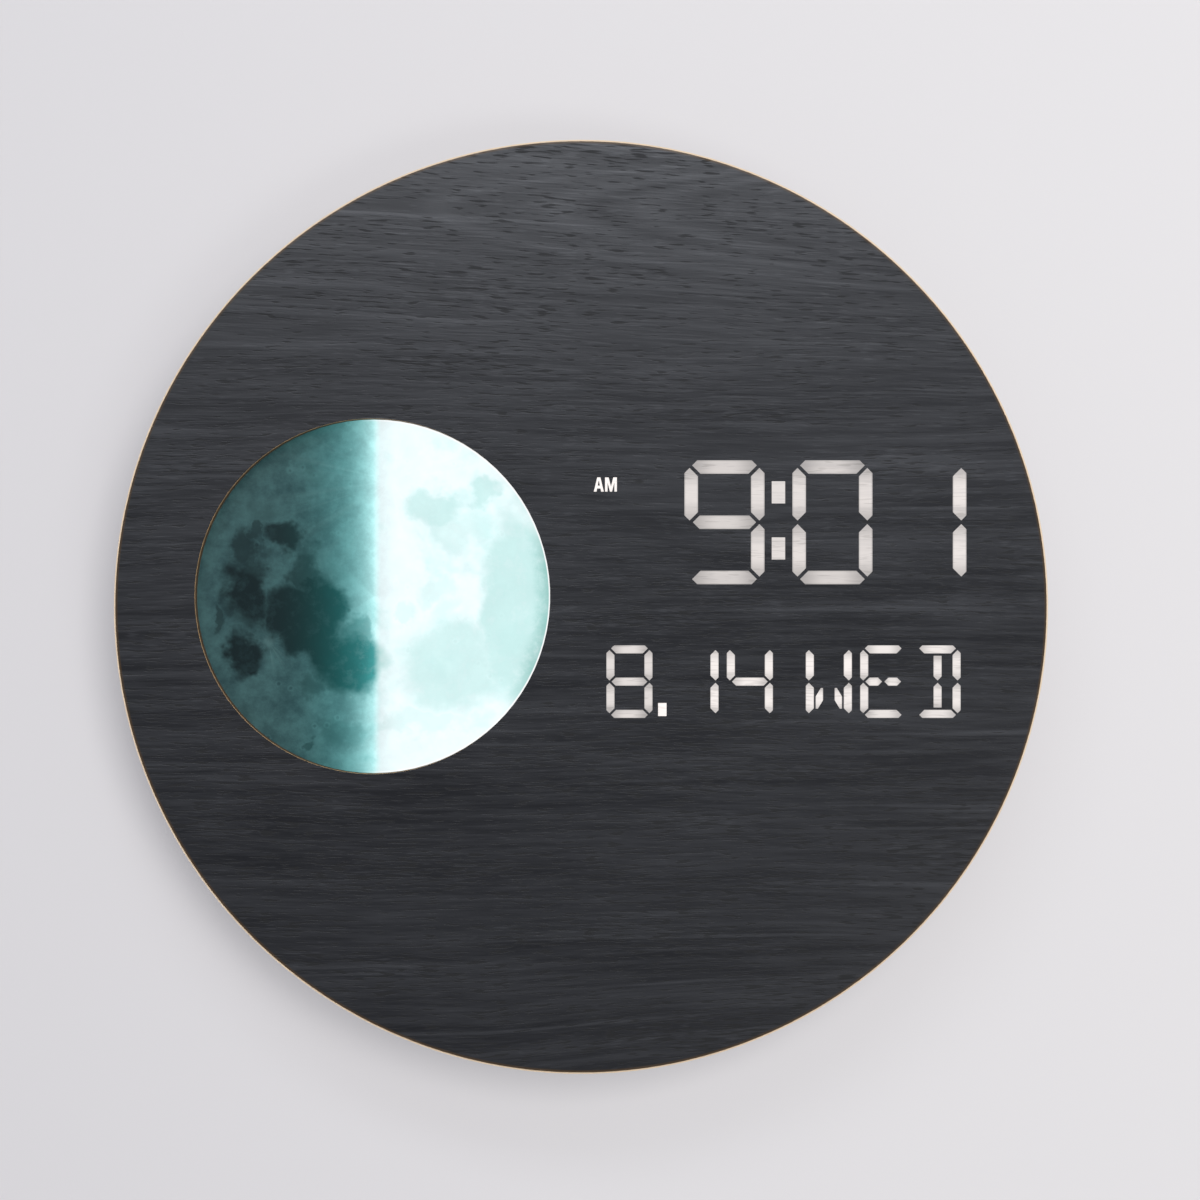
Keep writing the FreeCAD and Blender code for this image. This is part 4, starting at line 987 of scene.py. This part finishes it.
# %% Plastic materials
PLASTIC_DUST = (0.30, 0.29, 0.27)
KEYS = ("set", "down", "up", "moon")
CAPS = [name + "_button_cap" for name in KEYS]
PLUNGERS = [name + "_switch_plunger" for name in KEYS]
PLASTICS = (
    ("black_moulding", (0.0125, 0.0125, 0.0135), 0.55, 2.6, 0.05, 0.25, ["rear_housing"]),
    ("white_moulding", (0.62, 0.62, 0.60), 0.42, 1.6, 0.02, 0.1, ["display_mask", "moon_light_box"]),
    ("button_moulding", (0.020, 0.020, 0.022), 0.38, 5.0, 0.02, 0.15, CAPS),
    ("connector_shell", (0.62, 0.56, 0.43), 0.45, 2.0, 0.02, 0.1, ["connectors"]),
    ("switch_case", (0.016, 0.016, 0.018), 0.34, 3.0, 0.02, 0.1, ["switch_bodies"] + PLUNGERS),
    ("buzzer_case", (0.010, 0.010, 0.011), 0.30, 2.0, 0.02, 0.1, ["buzzer"]),
    ("chip_package", (0.018, 0.018, 0.019), 0.62, 7.0, 0.02, 0.1,
     ["controller_chip", "display_driver_chips"]),
    ("diffuser_sheet", (0.72, 0.72, 0.71), 0.58, 4.0, 0.01, 0.0, ["display_diffuser"]))


def make_plastic(name, colour, roughness, grain, depth, dust):
    material, tree, surface = new_material(name)
    place = tree.millimetres()
    texture = tree.use(MOULD, Place=place, Grain_per_mm=grain)
    dusty = tree.use(DUST, Place=place, Amount=dust)["Dust"]
    lighter = tuple(min(1.0, level * 1.5 + 0.004) for level in colour)
    tone = tree.mix(tree.step(texture["Tone"], 0.3, 0.7), colour, lighter)
    rough = tree.math("ADD", texture["Roughness"] + roughness, dusty * 0.5, clamp=True)
    tree.fill(surface, {"Base Color": tree.mix(dusty, tone, PLASTIC_DUST), "Roughness": rough,
                        "Normal": tree.bump(texture["Height"], 0.45, depth)})
    return material


for *finish, parts in PLASTICS:
    dress(make_plastic(*finish), *parts)

# %% [markdown]
# ## Metals
#
# The hanger plates are zinc-plated steel with the small crystals of plating. The cans, the coin cell and its
# strap, and the shell of the power socket are brighter. On a metal the colour is in the reflection, so
# Metallic is 1 and most of the character comes from how the roughness changes across the surface. A row is
# the material's name, its colour, its roughness, how fine its lines are along X, Y and Z, its tarnish, and
# the parts that get it. The zinc has a name of its own, because the screws use it too.

# %% Metal materials
METAL_DUST = (0.35, 0.34, 0.32)


def make_metal(name, colour, roughness, direction, tarnish):
    material, tree, surface = new_material(name)
    place = tree.millimetres()
    brushed = tree.use(BRUSHED, Place=place, Direction=direction)
    dusty = tree.use(DUST, Place=place, Amount=0.2)["Dust"]
    tone = tree.mix(tree.step(brushed["Tone"], 0.3, 0.75, 0.0, 0.35), colour, tarnish)
    rough = tree.math("ADD", brushed["Roughness"] + roughness, dusty * 0.4, clamp=True)
    tree.fill(surface, {"Base Color": tree.mix(dusty, tone, METAL_DUST), "Metallic": 1.0,
                        "Roughness": rough, "Normal": tree.bump(brushed["Height"], 0.3, 0.01)})
    return material


METALS = (("bright_can", (0.80, 0.80, 0.79), 0.22, (0.2, 1.0, 2.0), grey(0.60),
           ["crystal", "power_socket_shell", "coin_cell"]),
          ("capacitor_can", (0.78, 0.79, 0.80), 0.26, (3.0, 0.1, 3.0), (0.5, 0.5, 0.52), ["capacitor"]),
          ("spring_steel", (0.60, 0.58, 0.55), 0.30, (0.1, 1.0, 4.0), (0.42, 0.40, 0.37),
           ["coin_cell_strap"]))
ZINC = make_metal("zinc_plated_steel", (0.62, 0.64, 0.66), 0.34, (0.15, 1.0, 3.0), (0.42, 0.43, 0.45))
dress(ZINC, "hanger_plate_left", "hanger_plate_right")
for *finish, parts in METALS:
    dress(make_metal(*finish), *parts)

# %% [markdown]
# ## Circuit boards, lamps, cables and contacts
#
# The boards are green lacquer over copper. Each small lamp is a white case whose front face is filled with
# yellow phosphor, so a mask from the direction of the face gives the colour. A flat cable is ribbed wires
# side by side, with one marked red-brown. The socket's tongue has gold contacts on black.

# %% Boards and small parts
MARKED_WIRE_X = -35.5
SOCKET_X = 25.0


def make_board():
    material, tree, surface = new_material("circuit_board")
    place = tree.millimetres()
    tracks, holes = tree.use(CIRCUIT, Place=place, Pitch=4.0).values()
    lacquer = tree.mix(tree.noise(place, 0.08), (0.006, 0.060, 0.026), (0.010, 0.080, 0.036))
    copper = tree.mix(tracks * 0.8, lacquer, (0.030, 0.150, 0.060))
    tree.fill(surface, {
        "Base Color": tree.mix(holes, copper, (0.55, 0.52, 0.44)), "Metallic": holes * 0.9,
        "Roughness": tree.step(holes, 0.0, 1.0, 0.32, 0.25),
        "Normal": tree.bump(tracks * 0.5 + holes, 0.5, 0.05)})
    return material


def make_lamp_case():
    material, tree, surface = new_material("led_package")
    texture = tree.use(MOULD, Place=tree.millimetres(), Grain_per_mm=4.0)
    _, towards, _ = tree.parts(tree.values("NewGeometry")["Normal"])
    case = tree.mix(texture["Tone"], (0.66, 0.66, 0.64), (0.78, 0.78, 0.76))
    phosphor = tree.mix(texture["Tone"], (0.62, 0.47, 0.06), (0.78, 0.62, 0.12))
    tree.fill(surface, {"Base Color": tree.mix(tree.step(towards, -0.8, -0.95) * 0.8, case, phosphor),
                        "Roughness": texture["Roughness"] + 0.35})
    return material


def make_ribbon():
    material, tree, surface = new_material("ribbon_cable")
    x, _, z = tree.parts(tree.millimetres())
    wire = tree.math("SINE", x * (2 * math.pi))
    mottle = tree.noise(tree.together(x, 0.0, z), 0.7)
    colour = tree.mix(mottle, (0.46, 0.46, 0.45), (0.56, 0.56, 0.55))
    # The grooves between the wires are darker: painted shade in the creases
    colour = tree.mix(tree.step(wire, -1.0, 0.2), grey(0.24), colour)
    marked = tree.step(tree.math("ABSOLUTE", x - MARKED_WIRE_X), 0.55, 0.45)
    tree.fill(surface, {"Base Color": tree.mix(marked, colour, (0.35, 0.035, 0.03)),
                        "Roughness": tree.step(mottle, 0.3, 0.7, 0.38, 0.52),
                        "Normal": tree.bump(wire, 0.8, 0.3)})
    return material


def make_tongue():
    material, tree, surface = new_material("contact_tongue")
    place = tree.millimetres()
    x, _, _ = tree.parts(place)
    texture = tree.use(MOULD, Place=place, Grain_per_mm=5.0)
    aside = x - SOCKET_X
    contact = tree.step(tree.math("PINGPONG", aside, 0.25), 0.14, 0.10)
    gold = contact * tree.step(tree.math("ABSOLUTE", aside), 3.0, 2.9)
    tree.fill(surface, {
        "Base Color": tree.mix(gold, (0.014, 0.014, 0.015), (0.83, 0.60, 0.24)), "Metallic": gold,
        "Roughness": texture["Roughness"] + 0.32, "Normal": tree.bump(gold + texture["Height"], 0.4, 0.03)})
    return material


dress(make_board(), "display_led_board", "moon_led_board", "control_board")
dress(make_lamp_case(), "display_leds", "moon_leds")
dress(make_ribbon(), "display_ribbon", "moon_ribbon")
dress(make_tongue(), "power_socket_tongue")

# %% [markdown]
# ## Screws
#
# Four pan-head screws hold the board: each sits at the bottom of a well in the housing's columns. The plates
# that hang the clock are held by two countersunk screws each. A screw head is a turned profile, but its cross
# is a pocket with flat walls, so the top disc is cut along a cross with the same Delaunay helper, and the
# cross's outline is carried down to a smaller cross at the bottom.

# %% Screw maker
SCREW_SIDES = 32
CROSS_TAPER = 0.62
COLUMN_R = 131.0
WELL_FLOOR = -18.6
PAN_HEAD = ((3.0, 0.0), (3.15, 0.5), (3.0, 1.3), (2.5, 1.9), (1.9, 2.15))
PAN_CROSS = (1.55, 0.32)
PAN_SINK = 1.2


def cross_outline(reach, half):
    return [(reach, -half), (reach, half), (half, half), (half, reach), (-half, reach), (-half, half),
            (-reach, half), (-reach, -half), (-half, -half), (-half, -reach), (half, -reach), (half, -half)]


def make_screw(name, place, profile, cross, sink, turn):
    """A screw head that looks along +Y. profile is (radius, y) from the head's edge to its flat top, in mm
    from the seat, cross is (reach, half width) and sink the depth of the pocket."""
    spin = Matrix.Rotation(math.radians(turn), 4, "Y")
    vertices, faces = [], []
    for radius, y in profile:
        vertices += [(x, y, z) for x, z in circle_outline(0, 0, radius, SCREW_SIDES)]
    for first in range(0, len(vertices) - SCREW_SIDES, SCREW_SIDES):
        second = first + SCREW_SIDES
        for side in range(SCREW_SIDES):
            after = (side + 1) % SCREW_SIDES
            faces.append((first + side, first + after, second + after, second + side))
    top_radius, top_y = profile[-1]
    pocket = cross_outline(*cross)
    points, triangles, _ = cut_along([circle_outline(0, 0, top_radius, SCREW_SIDES), pocket])
    base = len(vertices)
    vertices += [(point.x, top_y, point.y) for point in points]
    faces += [tuple(base + v for v in reversed(face)) for face, owners in triangles if 1 not in owners]
    rim = len(vertices)
    floor = rim + len(pocket)
    vertices += [(x, top_y, z) for x, z in pocket]
    vertices += [(x * CROSS_TAPER, top_y - sink, z * CROSS_TAPER) for x, z in pocket]
    for corner in range(len(pocket)):
        after = (corner + 1) % len(pocket)
        faces.append((rim + corner, floor + corner, floor + after, rim + after))
    faces.append(tuple(reversed(range(floor, len(vertices)))))
    item = add_mesh(name, [spin @ (Vector(v) * MM) for v in vertices], faces, ZINC)
    item.data.transform(Matrix.Translation(Vector(place) * MM))
    item.data.shade_smooth()
    item.data.set_sharp_from_angle(angle=math.radians(35))
    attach(item, CLOCK)


for number, (x, z) in enumerate(circle_outline(0, 0, COLUMN_R, 8)[1::2]):
    make_screw("board_screw_%d" % (number + 1), (x, WELL_FLOOR, z), PAN_HEAD, PAN_CROSS, PAN_SINK,
               17 + 29 * number)
print("four board screws")

# %% [markdown]
# ## Hanger plates
#
# Each plate is a stamped strip let into the back, with a keyhole and two countersunk screws. The plain solid
# has no holes for the screws, so the plate is rebuilt as a sheet with them: rounded corners, the keyhole's
# outline, and straight round holes that the screws' cone-shaped heads sit in. A small bevel on every edge
# catches the light.

# %% Hanger plates
HANGER_X = 60.0
HANGER_Z = 88.0
PLATE_W = 22.0
PLATE_H = 36.0
PLATE_T = 1.2
PLATE_CORNER = 1.5
ENTRY_R = 4.5
ENTRY_Z = 83.5
SLOT_HALF = 2.5
SLOT_TOP = 94.0
SINK_R = 2.3
SINK_HEAD = ((1.3, -PLATE_T), (SINK_R - 0.02, -0.22), (SINK_R - 0.02, -0.08), (SINK_R - 0.14, 0.0))
SINK_CROSS = (1.2, 0.25)
SINK_DEPTH = 0.7
SINK_Z = (73.6, 102.4)
EDGE_WEAR = 0.12


def rounded_outline(x, z, width, height, radius):
    right, up = width / 2 - radius, height / 2 - radius
    quarters = ((x + right, z + up), (x - right, z + up), (x - right, z - up), (x + right, z - up))
    return [corner for index, middle in enumerate(quarters)
            for corner in arc(*middle, radius, 90 * index, 90 * index + 90, 6)]


def keyhole_outline(x):
    """The round entry below and the narrow neck above it, as one outline."""
    opening = math.degrees(math.asin(SLOT_HALF / ENTRY_R))
    return arc(x, ENTRY_Z, ENTRY_R, 90 + opening, 450 - opening, 28) + arc(x, SLOT_TOP, SLOT_HALF, 0, 180, 12)


def make_hanger_plate(side, x):
    outlines = [rounded_outline(x, HANGER_Z, PLATE_W, PLATE_H, PLATE_CORNER), keyhole_outline(x)]
    outlines += [circle_outline(x, z, SINK_R, 24) for z in SINK_Z]
    plate = sheet_object("keyhole_plate_" + side, outlines,
                         lambda owners: 0 if owners == frozenset({0}) else None, -PLATE_T, 0.0, [ZINC])
    bevel = plate.modifiers.new("worn_edges", "BEVEL")
    bevel.width = EDGE_WEAR * MM
    bevel.segments = 2
    bevel.limit_method = "ANGLE"
    bevel.angle_limit = math.radians(50)
    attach(plate, CLOCK)
    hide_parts("hanger_plate_" + side)
    for number, z in enumerate(SINK_Z):
        make_screw("plate_screw_%s_%d" % (side, number + 1), (x, 0.0, z), SINK_HEAD, SINK_CROSS, SINK_DEPTH,
                   23 + 41 * number)


make_hanger_plate("left", -HANGER_X)
make_hanger_plate("right", HANGER_X)
print("two keyhole plates with", 2 * len(SINK_Z), "screws")
